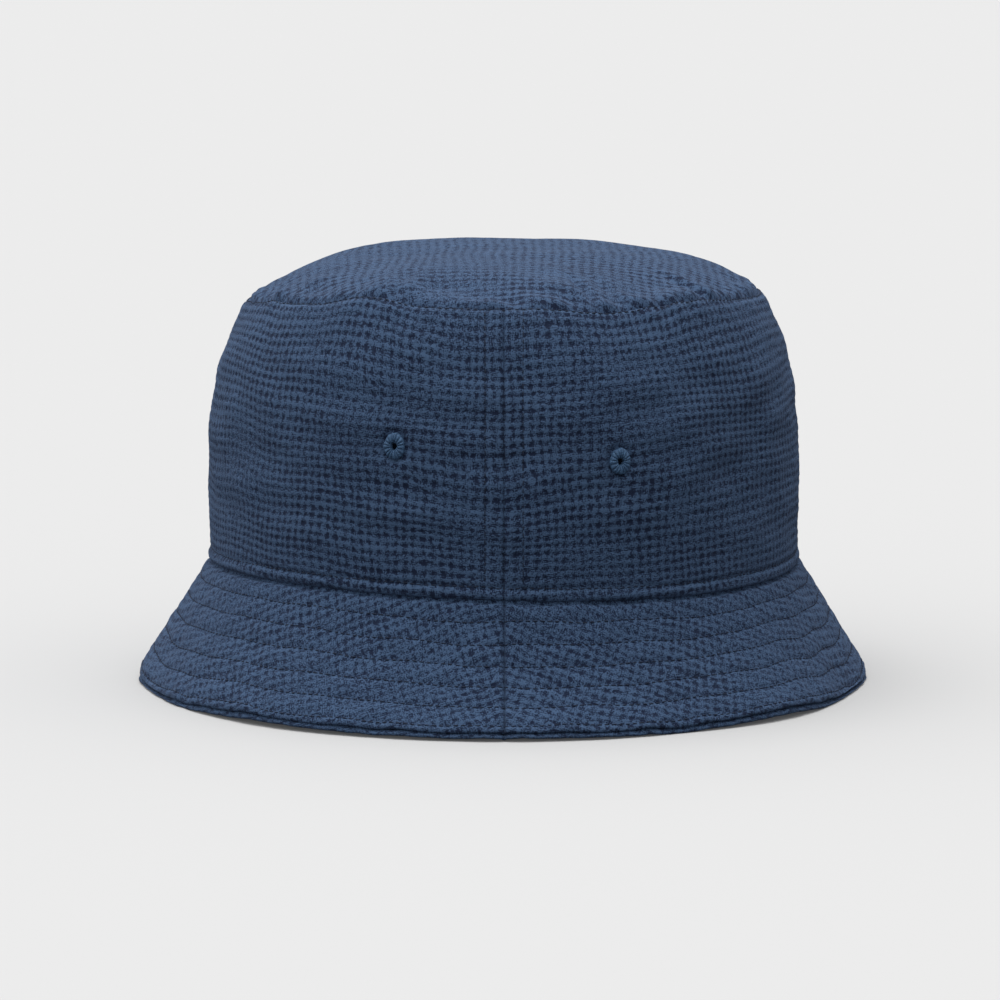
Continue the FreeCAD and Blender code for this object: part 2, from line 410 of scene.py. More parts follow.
class ClothMesh:
    """Closed cloth made of a fine face, a plainer back face at half the grid, and their rims."""

    def __init__(self) -> None:
        """Start with nothing."""
        self.points: list[np.ndarray] = []
        self.uvs: list[np.ndarray] = []
        self.faces: list[tuple[int, ...]] = []
        self.count = 0

    def add_points(self, points: np.ndarray, uv: np.ndarray) -> np.ndarray:
        """Add points.

        Args:
            points: points in any layout.
            uv: place on the cloth of each point, in metres.

        Returns:
            Their numbers in the same layout.
        """
        shape = points.shape[:-1]
        numbers = np.arange(self.count, self.count + int(np.prod(shape))).reshape(shape)
        self.points.append(points.reshape(-1, 3))
        self.uvs.append(uv.reshape(-1, 2))
        self.count += numbers.size
        return numbers

    def add_quads(self, numbers: np.ndarray, flipped: bool = False) -> None:
        """Fill a grid of points with four-sided faces.

        Args:
            numbers: numbers of the grid's points.
            flipped: whether the faces look the other way.
        """
        corners = [numbers[:-1, :-1], numbers[:-1, 1:], numbers[1:, 1:], numbers[1:, :-1]]
        if flipped:
            corners.reverse()
        self.faces.extend(map(tuple, np.stack(corners, -1).reshape(-1, 4).tolist()))

    def add_fan(self, ring: np.ndarray, middle: int, flipped: bool = False) -> None:
        """Close a ring of points with triangles.

        Args:
            ring: numbers round the ring, back to the start.
            middle: number of the point in its middle.
            flipped: whether the triangles look the other way.
        """
        for first, second in zip(ring[:-1].tolist(), ring[1:].tolist()):
            self.faces.append((second, first, middle) if flipped else (first, second, middle))

    def add_rim(self, fine: list[int], coarse: list[int]) -> None:
        """Join the edges of the two faces, two steps of the fine one to each step of the back one.

        Args:
            fine: numbers along the fine face's edge.
            coarse: numbers along the back face's edge.
        """
        for step, (near, far) in enumerate(zip(coarse[:-1], coarse[1:])):
            first, middle, last = fine[2 * step:2 * step + 3]
            self.faces.extend([(middle, first, near), (last, middle, far), (middle, near, far)])

    def build(self, name: str) -> bpy.types.Object:
        """Make the object, smooth shaded, with its UV map in metres.

        Args:
            name: name of the piece.

        Returns:
            The piece.
        """
        mesh = bpy.data.meshes.new(name)
        mesh.from_pydata(np.concatenate(self.points).tolist(), [], self.faces)
        loops = np.empty(len(mesh.loops), dtype=np.int32)
        mesh.loops.foreach_get("vertex_index", loops)
        layer = mesh.uv_layers.new(name="UVMap")
        layer.data.foreach_set("uv", np.concatenate(self.uvs)[loops].ravel())
        mesh.polygons.foreach_set("use_smooth", np.ones(len(mesh.polygons), dtype=bool))
        mesh.validate()
        mesh.update()
        return add_object(name, mesh)


def grid_edge(numbers: np.ndarray) -> list[int]:
    """Numbers round the edge of a grid, back to the start."""
    sides = numbers[0, :], numbers[1:, -1], numbers[-1, -2::-1], numbers[-2::-1, 0]
    return np.concatenate(sides).tolist()


def closed_cloth(name: str, points: np.ndarray, back: np.ndarray, uv: np.ndarray,
                 flipped: bool = False) -> bpy.types.Object:
    """Closed sheet from a fine face and a back face.

    Args:
        name: name of the piece.
        points: fine face, rows going up and columns going right as seen from its side.
        back: back face on the same grid, of which every second point is used.
        uv: place on the cloth in metres, on the same grid.
        flipped: whether the columns go left as seen from the fine face's side.

    Returns:
        The piece.
    """
    if flipped:
        points, back, uv = points[:, ::-1], back[:, ::-1], uv[:, ::-1]
    cloth = ClothMesh()
    fine = cloth.add_points(points, uv)
    coarse = cloth.add_points(back[::2, ::2], uv[::2, ::2])
    cloth.add_quads(fine)
    cloth.add_quads(coarse, flipped=True)
    cloth.add_rim(grid_edge(fine), grid_edge(coarse))
    return cloth.build(name)


def finish_piece(piece: bpy.types.Object, material: bpy.types.Material, node: str) -> bpy.types.Object:
    """Dress a piece of the hat's own body with its finish, hang it on the body and hide the CAD node that it stands
    for.

    Args:
        piece: the piece.
        material: its finish.
        node: CAD node that it stands for.

    Returns:
        The piece.
    """
    piece.data.materials.clear()
    piece.data.materials.append(material)
    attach(piece, BODY)
    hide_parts(node)
    LOG.info("%s: %d faces for %s", piece.name, len(piece.data.polygons), node)
    return piece


# ---- Finishes ---------------------------------------------------------------------------------------

class Value:
    """A number in a shader that takes Python's arithmetic."""

    def __init__(self, shader: "Shader", socket: bpy.types.NodeSocket) -> None:
        """Wrap an output socket."""
        self.shader = shader
        self.socket = socket

    def math(self, operation: str, *others: "Value | float") -> "Value":
        """Result of a Math node on this value and others."""
        return self.shader.value("ShaderNodeMath", {"operation": operation}, self, *others)

    def __add__(self, other: "Value | float") -> "Value":
        """Sum."""
        return self.math("ADD", other)

    def __sub__(self, other: "Value | float") -> "Value":
        """Difference."""
        return self.math("SUBTRACT", other)

    def __rsub__(self, other: float) -> "Value":
        """Difference from a number."""
        return (self * -1.0) + other

    def __mul__(self, other: "Value | float") -> "Value":
        """Product."""
        return self.math("MULTIPLY", other)

    def __truediv__(self, other: "Value | float") -> "Value":
        """Quotient."""
        return self.math("DIVIDE", other)

    __radd__ = __add__
    __rmul__ = __mul__

    def cosine(self) -> "Value":
        """Cosine of an angle in radians."""
        return self.math("COSINE")

    def rounded_down(self) -> "Value":
        """Whole part."""
        return self.math("FLOOR")

    def smooth(self, low: float, high: float) -> "Value":
        """Smooth step from 0 at low to 1 at high."""
        settings = {"interpolation_type": "SMOOTHSTEP"}
        return self.shader.value("ShaderNodeMapRange", settings, self, low, high, 0.0, 1.0)


class Nodes:
    """Adds nodes to one tree."""

    def __init__(self, tree: bpy.types.NodeTree) -> None:
        """Work on a tree."""
        self.tree = tree

    def add(self, kind: str, settings: dict, *inputs: object) -> bpy.types.Node:
        """Add a node.

        Args:
            kind: the node's type.
            settings: properties, set before its sockets.
            inputs: values or links of its first sockets.

        Returns:
            The node.
        """
        node = self.tree.nodes.new(kind)
        for key, setting in settings.items():
            setattr(node, key, setting)
        sockets = [socket for socket in node.inputs if socket.enabled]
        for socket, given in zip(sockets, inputs):
            self.feed(socket, given)
        return node

    def feed(self, socket: bpy.types.NodeSocket, given: object) -> None:
        """Link or set one socket.

        Args:
            socket: the input socket.
            given: an output socket, a Value or a plain setting.
        """
        given = given.socket if isinstance(given, Value) else given
        if isinstance(given, bpy.types.NodeSocket):
            self.tree.links.new(given, socket)
        else:
            socket.default_value = given

    def feed_all(self, node: bpy.types.Node, given: dict[str, object]) -> None:
        """Link or set sockets of a node by their names."""
        for name, setting in given.items():
            self.feed(node.inputs[name], setting)


class Shader(Nodes):
    """Builds one material's nodes."""

    RELIEF_STRENGTH = 1.0
    SPECULAR = 0.25
    SHEEN_ROUGHNESS = 0.55
    SHEEN_TINT = (0.4, 0.58, 1.0, 1.0)

    def __init__(self, name: str) -> None:
        """Start a material with only a Principled shader and its output.

        Args:
            name: name of the material.
        """
        self.material = bpy.data.materials.new(name)
        self.material.use_nodes = True
        super().__init__(self.material.node_tree)
        self.tree.nodes.clear()
        self.surface = self.add("ShaderNodeBsdfPrincipled", {})
        self.add("ShaderNodeOutputMaterial", {}, self.surface.outputs[0])

    def value(self, kind: str, settings: dict, *inputs: object) -> Value:
        """Add a node and take its first output as a number."""
        return Value(self, self.add(kind, settings, *inputs).outputs[0])

    def cloth_place(self) -> tuple[bpy.types.NodeSocket, Value, Value]:
        """The piece's UV map, in metres.

        Returns:
            The whole place, and its parts across and up as numbers.
        """
        place = self.add("ShaderNodeUVMap", {"uv_map": "UVMap"}).outputs[0]
        parts = self.add("ShaderNodeSeparateXYZ", {}, place)
        return place, Value(self, parts.outputs[0]), Value(self, parts.outputs[1])

    def noise(self, place: object, scale: float, detail: float = 2.0, rough: float = 0.5) -> Value:
        """Noise from 0 to 1 with a scale in cells per metre."""
        return self.value("ShaderNodeTexNoise", {"noise_dimensions": "3D"}, place, scale, detail, rough)

    def streaks(self, place: object, scale: Scale, detail: float, rough: float = 0.5) -> Value:
        """Noise from 0 to 1 with its own scale along each axis."""
        stretched = self.add("ShaderNodeVectorMath", {"operation": "MULTIPLY"}, place, scale).outputs[0]
        return self.noise(stretched, 1.0, detail, rough)

    def shifted(self, place: object, step: Scale) -> bpy.types.NodeSocket:
        """Place moved by a step."""
        return self.add("ShaderNodeVectorMath", {"operation": "ADD"}, place, step).outputs[0]

    def mix(self, factor: object, first: object, second: object) -> bpy.types.NodeSocket:
        """Colour between two colours.

        Args:
            factor: 0 for the first and 1 for the second.
            first: first colour.
            second: second colour.

        Returns:
            The colour.
        """
        node = self.add("ShaderNodeMix", {"data_type": "RGBA"})
        for index, given in ((0, factor), (6, first), (7, second)):
            self.feed(node.inputs[index], given)
        return node.outputs[2]

    def finish(self, color: object, roughness: float, height: Value, depth: float,
               sheen: float) -> bpy.types.Material:
        """Feed the shader.

        Args:
            color: base colour.
            roughness: roughness.
            height: relief from 0 to 1.
            depth: height of the relief in metres.
            sheen: weight of the cloth's sheen.

        Returns:
            The material.
        """
        bump = self.add("ShaderNodeBump", {})
        self.feed_all(bump, {"Strength": self.RELIEF_STRENGTH, "Distance": depth, "Height": height})
        self.feed_all(self.surface, {
            "Base Color": color,
            "Roughness": roughness,
            "Normal": bump.outputs[0],
            "Specular IOR Level": self.SPECULAR,
            "Sheen Weight": sheen,
            "Sheen Roughness": self.SHEEN_ROUGHNESS,
            "Sheen Tint": self.SHEEN_TINT,
        })
        return self.material


@dataclass(frozen=True)
class PuckeredCloth:
    """Navy puckered cloth: a pale ground with rows of small dark cells that sink into it, over a fine weave. The
    cells' dark colour is partly the cloth's own pattern and partly painted shade in their hollows.

    Scales are in cells per metre, and a range gives the values that become 0 and 1.
    """

    name: str = "puckered_navy_cloth"
    ground: Color = (0.054, 0.101, 0.192, 1.0)
    # Dark colour of the cells: partly the cloth's own pattern, partly painted shade where the cells sink.
    sunken: Color = (0.0035, 0.01, 0.034, 1.0)
    boldness: float = 1.0
    depth: float = 0.14 * MM
    sheen: float = 0.11
    roughness: float = 0.88
    cell_range: Pair = (0.2, 1.0)
    color_range: Pair = (-0.25, 1.15)
    clear_range: Pair = (0.34, 0.62)
    clear_scale: float = 26.0
    patch_scale: float = 50.0
    drift_scale: float = 330.0
    drift_step: Scale = (0.7, 0.3, 0.0)
    fleck_scale: float = 2300.0
    streak_scale: Scale = (26.0, 260.0, 1.0)
    weft_scale: Scale = (800.0, 2900.0, 1.0)
    warp_scale: Scale = (2700.0, 900.0, 1.0)
    weaves_in_cell: float = 3.0

    def build(self) -> bpy.types.Material:
        """Make the material.

        Returns:
            The material.
        """
        shader = Shader(self.name)
        place, across, up = shader.cloth_place()
        drift = shader.noise(place, self.drift_scale) - 0.5
        drift_up = shader.noise(shader.shifted(place, self.drift_step), self.drift_scale) - 0.5
        column, row = across / CELL_ACROSS + drift * 1.1, up / CELL_UP + drift_up * 0.8
        stripe = (column * math.tau).cosine() * 0.5 + 0.5
        ribbon = (row * math.tau).cosine() * 0.5 + 0.5
        cell = stripe.smooth(*self.cell_range) * ribbon.smooth(*self.cell_range)
        nearest = (column + 0.5).rounded_down(), (row + 0.5).rounded_down()
        numbers = shader.add("ShaderNodeCombineXYZ", {}, *nearest).outputs[0]
        fate = shader.value("ShaderNodeTexWhiteNoise", {"noise_dimensions": "3D"}, numbers)
        streak = shader.streaks(place, self.streak_scale, 2.0) - 0.5
        patch = shader.noise(place, self.patch_scale) - 0.5
        weft = shader.streaks(place, self.weft_scale, 1.0) - 0.5
        warp = shader.streaks(place, self.warp_scale, 1.0) - 0.5
        fleck = shader.noise(place, self.fleck_scale, 2.0, 0.8) - 0.5
        threads = weft * 1.5 + warp * 1.3 + fleck * 1.6
        clear = shader.noise(place, self.clear_scale, 1.0).smooth(*self.clear_range)
        fine_column, fine_row = (value * self.weaves_in_cell * math.tau for value in (column, row))
        weave = fine_column.cosine() * fine_row.cosine()
        # Painted highlight: the raised ground where the pale rows and columns cross is made lighter.
        painted_knot_highlight = (stripe - 1.0) * (ribbon - 1.0)
        # The cells darken the colour here, partly as the cloth's own pattern and partly as painted shade in their
        # hollows.
        blocks = cell * (fate * 0.9 + 0.3) - painted_knot_highlight * 0.55 + ribbon * 0.25 + stripe * 0.12 + 0.06
        dark = (blocks - 0.2) * (clear * 0.6 + 0.55) * self.boldness + weave * 0.16
        dark = dark + threads * (2.15 - clear * 0.3) + streak * 0.75 + patch * 0.4 + 0.42
        color = shader.mix(dark.smooth(*self.color_range), self.ground, self.sunken)
        height = (1.0 - cell) * 0.45 + threads * 0.5 + 0.25
        return shader.finish(color, self.roughness, height, self.depth, self.sheen)


@dataclass(frozen=True)
class Twill:
    """Flat twill of one shade with fine diagonal ribs."""

    name: str
    shade: Color
    deep: Color
    rib: float = 0.9 * MM
    sheen: float = 0.11
    roughness: float = 0.8
    depth: float = 0.1 * MM
    fleck_scale: float = 1600.0

    def build(self) -> bpy.types.Material:
        """Make the material.

        Returns:
            The material.
        """
        shader = Shader(self.name)
        place, across, up = shader.cloth_place()
        fleck = shader.noise(place, self.fleck_scale, 2.0, 0.6)
        ribs = ((across + up) * (math.tau / self.rib) + fleck * 1.2).cosine().smooth(-0.8, 0.8)
        dark = ribs * 0.5 + fleck * 0.6 - 0.05
        color = shader.mix(dark.smooth(0.0, 1.0), self.shade, self.deep)
        return shader.finish(color, self.roughness, (1.0 - ribs) * 0.7 + fleck * 0.3, self.depth, self.sheen)


@dataclass(frozen=True)
class Thread:
    """Twisted polyester thread."""

    name: str
    shade: Color
    deep: Color
    sheen: float = 0.1
    roughness: float = 0.6
    depth: float = 0.04 * MM
    fleck_scale: float = 2600.0

    def build(self) -> bpy.types.Material:
        """Make the material.

        Returns:
            The material.
        """
        shader = Shader(self.name)
        place = shader.add("ShaderNodeTexCoord", {}).outputs["Object"]
        fleck = shader.noise(place, self.fleck_scale, 2.0, 0.6)
        color = shader.mix(fleck.smooth(0.25, 0.8), self.shade, self.deep)
        return shader.finish(color, self.roughness, fleck, self.depth, self.sheen)


@dataclass(frozen=True)
class Felt:
    """Pale pressed fibre of the interlining."""

    name: str = "pressed_fibre"
    shade: Color = (0.72, 0.71, 0.66, 1.0)
    deep: Color = (0.55, 0.54, 0.5, 1.0)
    roughness: float = 0.95
    depth: float = 0.1 * MM
    fibre_scale: Scale = (500.0, 1400.0, 1.0)

    def build(self) -> bpy.types.Material:
        """Make the material.

        Returns:
            The material.
        """
        shader = Shader(self.name)
        place, _, _ = shader.cloth_place()
        fibre = shader.streaks(place, self.fibre_scale, 4.0, 0.7)
        color = shader.mix(fibre.smooth(0.3, 0.7), self.shade, self.deep)
        return shader.finish(color, self.roughness, fibre, self.depth, 0.0)


@dataclass(frozen=True)
class Finishes:
    """All the hat's materials, built once."""

    cloth: bpy.types.Material
    brim_cloth: bpy.types.Material
    tape: bpy.types.Material
    sweatband: bpy.types.Material
    label: bpy.types.Material
    felt: bpy.types.Material
    thread: bpy.types.Material
    embroidery: bpy.types.Material

    @classmethod
    def build(cls) -> "Finishes":
        """Make every material.

        Returns:
            The materials.
        """
        return cls(
            cloth=PuckeredCloth().build(),
            brim_cloth=PuckeredCloth("pressed_navy_cloth", boldness=0.7).build(),
            tape=Twill("navy_tape", (0.045, 0.07, 0.125, 1.0), (0.02, 0.032, 0.062, 1.0)).build(),
            sweatband=Twill("navy_twill", (0.04, 0.062, 0.112, 1.0), (0.016, 0.026, 0.052, 1.0)).build(),
            label=Twill("pale_ribbon", (0.82, 0.82, 0.8, 1.0), (0.68, 0.68, 0.66, 1.0), 0.6 * MM, 0.2).build(),
            felt=Felt().build(),
            thread=Thread("dark_navy_thread", (0.012, 0.022, 0.05, 1.0), (0.004, 0.008, 0.022, 1.0)).build(),
            embroidery=Thread("navy_embroidery", (0.075, 0.158, 0.285, 1.0), (0.014, 0.036, 0.085, 1.0)).build(),
        )


# ---- Stitches ---------------------------------------------------------------------------------------

class StitchMaker(Nodes):
    """Rows of lock stitches: small thread grains laid at even steps along paths on the cloth."""

    GRAIN_SEGMENTS = 7
    GRAIN_RINGS = 5
    WIDTHS = (0.85, 1.1)
    LENGTHS = (0.82, 1.08)
    WIDTH_SEED = 11
    LENGTH_SEED = 23

    def __init__(self, name: str, material: bpy.types.Material) -> None:
        """Build the node tree with its named inputs.

        Args:
            name: name of the node tree.
            material: finish of the thread.
        """
        super().__init__(bpy.data.node_groups.new(name, "GeometryNodeTree"))
        self.material = material
        self.inputs: dict[str, str] = {}
        self.declare("Path", "NodeSocketGeometry")
        for label in ("Pitch", "Length", "Radius"):
            self.declare(label, "NodeSocketFloat")
        self.tree.interface.new_socket("Stitches", in_out="OUTPUT", socket_type="NodeSocketGeometry")
        start = self.add("NodeGroupInput", {}).outputs
        curve = self.add("GeometryNodeMeshToCurve", {}, start["Path"])
        steps = self.add("GeometryNodeCurveToPoints", {"mode": "LENGTH"}, curve.outputs[0])
        self.feed(steps.inputs["Length"], start["Pitch"])
        grain = self.add("GeometryNodeMeshUVSphere", {}, self.GRAIN_SEGMENTS, self.GRAIN_RINGS, 1.0)
        thick = self.varied(start["Radius"], self.WIDTHS, self.WIDTH_SEED)
        half = self.varied(self.product(start["Length"], 0.5), self.LENGTHS, self.LENGTH_SEED)
        scale = self.add("ShaderNodeCombineXYZ", {}, thick, thick, half)
        laid = self.add("GeometryNodeInstanceOnPoints", {}, steps.outputs["Points"])
        self.feed_all(laid, {"Instance": grain.outputs[0], "Rotation": steps.outputs["Rotation"],
                             "Scale": scale.outputs[0]})
        real = self.add("GeometryNodeRealizeInstances", {}, laid.outputs[0])
        smooth = self.add("GeometryNodeSetShadeSmooth", {}, real.outputs[0])
        dressed = self.add("GeometryNodeSetMaterial", {}, smooth.outputs[0])
        self.feed(dressed.inputs["Material"], material)
        self.add("NodeGroupOutput", {}, dressed.outputs[0])

    def declare(self, label: str, kind: str) -> None:
        """Add a named input and remember its identifier."""
        socket = self.tree.interface.new_socket(label, in_out="INPUT", socket_type=kind)
        self.inputs[label] = socket.identifier

    def product(self, first: object, second: object) -> bpy.types.NodeSocket:
        """Two numbers multiplied."""
        return self.add("ShaderNodeMath", {"operation": "MULTIPLY"}, first, second).outputs[0]

    def varied(self, size: object, limits: Pair, seed: int) -> bpy.types.NodeSocket:
        """A size that differs from stitch to stitch.

        Args:
            size: the plain size.
            limits: smallest and largest share of it.
            seed: fixes the pattern.

        Returns:
            The size of each stitch.
        """
        chance = self.add("FunctionNodeRandomValue", {"data_type": "FLOAT"})
        numbers = [socket for socket in chance.inputs if socket.type == "VALUE"]
        for socket, limit in zip(numbers, limits):
            self.feed(socket, limit)
        self.feed(chance.inputs["Seed"], seed)
        return self.product(size, chance.outputs[1])

    def sew(self, name: str, node: str, paths: list[np.ndarray], closed: bool = True,
            radius: float = THREAD) -> None:
        """Stitch along paths and dress the stitches.

        Args:
            name: name of the piece.
            node: CAD node that it stands for.
            paths: points of each path.
            closed: whether each path joins its own start.
            radius: radius of the thread.
        """
        edges = []
        first = 0
        for path in paths:
            last = first + len(path) - 1
            edges.extend((number, number + 1) for number in range(first, last))
            if closed:
                edges.append((last, first))
            first = last + 1
        mesh = bpy.data.meshes.new(name + "_path")
        mesh.from_pydata(np.concatenate(paths).tolist(), edges, [])
        guide = add_object(name + "_guide", mesh)
        modifier = guide.modifiers.new("stitches", "NODES")
        modifier.node_group = self.tree
        for label, size in (("Pitch", STITCH_PITCH), ("Length", STITCH_LENGTH), ("Radius", radius)):
            modifier[self.inputs[label]] = size
        evaluated = guide.evaluated_get(bpy.context.evaluated_depsgraph_get())
        stitched = bpy.data.meshes.new_from_object(evaluated)
        bpy.data.objects.remove(guide)
        bpy.data.meshes.remove(mesh)
        finish_piece(add_object(name, stitched), self.material, node)


# ---- Crown ------------------------------------------------------------------------------------------

SEAM_LIFT = 1.4 * MM
SEAM_WANDER = 0.45 * MM
SEAM_RISES = (Fold(-31.0, 3.6 * MM, 11.0), Fold(23.0, -1.5 * MM, 4.5), Fold(49.0, 2.0 * MM, 7.0),
              Fold(-62.0, 0.6 * MM, 9.0), Fold(128.0, 1.8 * MM, 13.0), Fold(-140.0, 1.5 * MM, 10.0))
RISE_BELOW = 13.0 * MM
RISE_INWARD = 17.0 * MM
LEFT_SHOULDER = Fold(-98.0, -2.6 * MM, 34.0)
TIP_CREASES = (Fold(20.5, 1.5 * MM, 1.6), Fold(27.0, 0.7 * MM, 1.8), Fold(50.0, 1.3 * MM, 1.6),
               Fold(-24.0, 0.5 * MM, 1.8), Fold(-152.0, 0.8 * MM, 1.8))
CREASE_SWELL = Ridge(3.2 * MM, 0.6, 2.6 * MM)

HEADLINE_GROOVE = Ridge(0.0, 0.8, 0.5 * MM)
HEADLINE_ROW_GROOVE = Ridge(HEADLINE_ROW, 0.5, 0.7 * MM)
HEADLINE_GATHER = Ridge(2.2 * MM, 0.12, 2.6 * MM)
SIDE_TOP_GROOVE = Ridge(0.0, 0.75, 0.7 * MM)
SIDE_TOP_SWELL = Ridge(2.6 * MM, 1.0, 2.4 * MM)
CROWN_SEAM_GROOVE = Ridge(0.0, 0.6, 0.4 * MM)
CROWN_SEAM_SWELL = Ridge(2.4 * MM, 0.22, 1.7 * MM)
TWIN_GROOVE = Ridge(TWIN_HALF, 0.25, 0.6 * MM)
EYELET_DIMPLE = Ridge(3.5 * MM, 0.9, 0.8 * MM)
TIP_EDGE_GROOVE = Ridge(0.0, 1.5, 1.0 * MM)
TIP_EDGE_SWELL = Ridge(2.8 * MM, 1.0, 2.4 * MM)
TIP_GATHER = Ridge(7.0 * MM, 0.2, 6.0 * MM)


@dataclass
class Crown:
    """Tip, the two side panels, their seams, topstitching and eyelets."""

    form: HatForm
    finishes: Finishes
    columns: int = 480
    rows: int = 140
    tip_columns: int = 640
    tip_rows: int = 100
    tip_hole: float = 0.006
    pucker: float = 0.2 * MM
    tip_pucker: float = 0.6
    grain_dip: float = 0.5
    slip_size: float = 0.7 * MM
    tip_slip_size: float = 0.5 * MM
    back_eyelets: Pair = (-20.7, 21.9)
    slack: float = 0.7 * MM
    side_low: float = 0.25 * MM
    side_short: float = 0.1 * MM

    def __post_init__(self) -> None:
        """Fix the unevenness of the cloth and place the eyelets."""
        self.slip = Unevenness(3, 30.0 * MM)
        self.slip_up = Unevenness(4, 45.0 * MM, 1.6)
        self.broad = Unevenness(5, 60.0 * MM)
        self.drape = Unevenness(6, 24.0 * MM, 1.8)
        self.strength = Unevenness(7, 7.0 * MM)
        self.gather = Unevenness(8, 7.5 * MM, 0.3)
        self.seam_wander = Unevenness(9, 14.0 * MM, 0.1)
        self.eyelets: dict[Side, list[Eyelet]] = {}
        for side, back in zip(Side, self.back_eyelets):
            turns = {"back": back, "front": math.copysign(180.0, back) - back}
            self.eyelets[side] = [Eyelet(f"{end}_{side.word}", math.radians(turn)) for end, turn in turns.items()]

    def level_of(self, node: str) -> float:
        """Distance above the headline of a small node's middle, less the hat's slack there.

        Args:
            node: name of the node.

        Returns:
            The distance.
        """
        low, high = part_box(node)
        _, height, length = self.form.crown_table()
        return float(np.interp((low[2] + high[2]) / 2, height, length)) - self.slack

    def cells(self, uv: np.ndarray, base: np.ndarray) -> np.ndarray:
        """Relief of the puckers: the cells sink and the ground between them stands up.

        Args:
            uv: place on the cloth.
            base: points of the smooth form.

        Returns:
            Relief in metres.
        """
        column = ramp(np.cos(uv[..., 0] / CELL_ACROSS * math.tau), -0.6, 0.9)
        row = ramp(np.cos(uv[..., 1] / CELL_UP * math.tau), -0.6, 0.9)
        force = 1.0 + 0.6 * self.strength(base)
        return self.pucker * force * (0.35 - 0.7 * column * row - 0.4 * row)

    def side_uv(self, arc: np.ndarray, distance: np.ndarray, base: np.ndarray) -> np.ndarray:
        """Place on the side panel's cloth, whose rows dip towards the seams.

        Args:
            arc: distance round the headline.
            distance: distance above it.
            base: points of the smooth form.

        Returns:
            The place in metres.
        """
        from_middle = np.abs(arc) - self.form.half_round / 2
        across = arc + self.slip_size * self.slip(base)
        up = distance + self.grain_dip * from_middle ** 2 / 2 + self.slip_size * self.slip_up(base)
        return together(across, up)

    def side_lift(self, arc: np.ndarray, distance: np.ndarray, base: np.ndarray) -> np.ndarray:
        """Relief of the crown side without its puckers.

        Args:
            arc: distance round the headline.
            distance: distance above it.
            base: points of the smooth form.

        Returns:
            Relief in metres.
        """
        length = self.form.crown_length
        seam = self.form.seam_distance(arc)
        below_tip = length - distance
        middle = np.sin(np.clip(distance / length, 0, 1) * math.pi) ** 0.7
        gather = self.gather(base)
        lift = middle * (0.6 * self.broad(base) + 0.3 * self.drape(base))
        lift = lift + 0.4 * np.sin(np.clip(distance / HEADLINE_ROW, 0, 1) * math.pi) ** 1.2
        lift -= HEADLINE_GROOVE(distance) + HEADLINE_ROW_GROOVE(distance)
        lift += HEADLINE_GATHER(distance) * gather
        lift -= SIDE_TOP_GROOVE(below_tip)
        lift += SIDE_TOP_SWELL(below_tip) * (0.22 + 0.2 * gather)
        lift -= CROWN_SEAM_GROOVE(seam) + TWIN_GROOVE(seam)
        lift += CROWN_SEAM_SWELL(seam)
        for eyelet in (*self.eyelets[Side.LEFT], *self.eyelets[Side.RIGHT]):
            off = arc - float(self.form.arc(np.array(eyelet.angle)))
            lift -= EYELET_DIMPLE(np.hypot(off, (distance - self.level_of(eyelet.node)) / eyelet.tall))
        return lift * MM

    def rise(self, points: np.ndarray) -> np.ndarray:
        """Lift the tip seam where the crown is pulled up over its shoulder.

        Args:
            points: points on or near the form.

        Returns:
            The points where the lift takes them.
        """
        angle = self.form.angle_of(points)
        height = SEAM_LIFT + SEAM_WANDER * self.seam_wander(points)
        for fold in SEAM_RISES:
            height = height + fold.at(angle)
        radius = np.hypot(points[..., 0], points[..., 1] / self.form.oval)
        above = (points[..., 2] - self.form.tip_seam) / RISE_BELOW
        inward = (self.form.tip_half - radius) / RISE_INWARD
        near = bell(np.minimum(above, 0.0), 1.0) * bell(np.maximum(inward, 0.0), 1.0)
        risen = points.copy()
        risen[..., 2] += (height * np.abs(np.cos(angle)) + LEFT_SHOULDER.at(angle)) * near
        return risen

    def laid(self, base: np.ndarray, normals: np.ndarray, lift: np.ndarray) -> np.ndarray:
        """Points of the form lifted along their normals, risen and settled."""
        return self.form.settle(self.rise(base + normals * lift[..., None]))

    def side_points(self, angle: np.ndarray, distance: np.ndarray, depth: float = 0.0,
                    puckered: bool = True) -> tuple[np.ndarray, np.ndarray]:
        """Crown side at a depth inside its outer face.

        Args:
            angle: angle from the centre back.
            distance: distance above the headline.
            depth: depth below the outer face.
            puckered: whether the fine puckers show.

        Returns:
            Points and their places on the cloth.
        """
        arc = self.form.arc(angle)
        base, normals = self.form.crown(angle, distance)
        uv = self.side_uv(arc, distance, base)
        lift = self.side_lift(arc, distance, base)
        if puckered:
            lift = lift + self.cells(uv, base)
        return self.laid(base, normals, lift - depth), uv

    def side(self, side: Side) -> None:
        """Make one side panel with its eyelet holes.

        Args:
            side: half of the hat.
        """
        angle = np.linspace(*side.angles, self.columns + 1)[None, :]
        length = self.form.crown_length
        distance = np.linspace(self.side_low, length - self.side_short, self.rows + 1)[:, None]
        face, uv = self.side_points(angle, distance)
        back, _ = self.side_points(angle, distance, SHELL, puckered=False)
        piece = closed_cloth("side_cloth_" + side.word, face, back, uv)
        for eyelet in self.eyelets[side]:
            cut_hole(piece, eyelet.punch(self))
        finish_piece(piece, self.finishes.cloth, "crown_side_" + side.word)
        self.form.half_round
        "brim_cloth_" + side.word

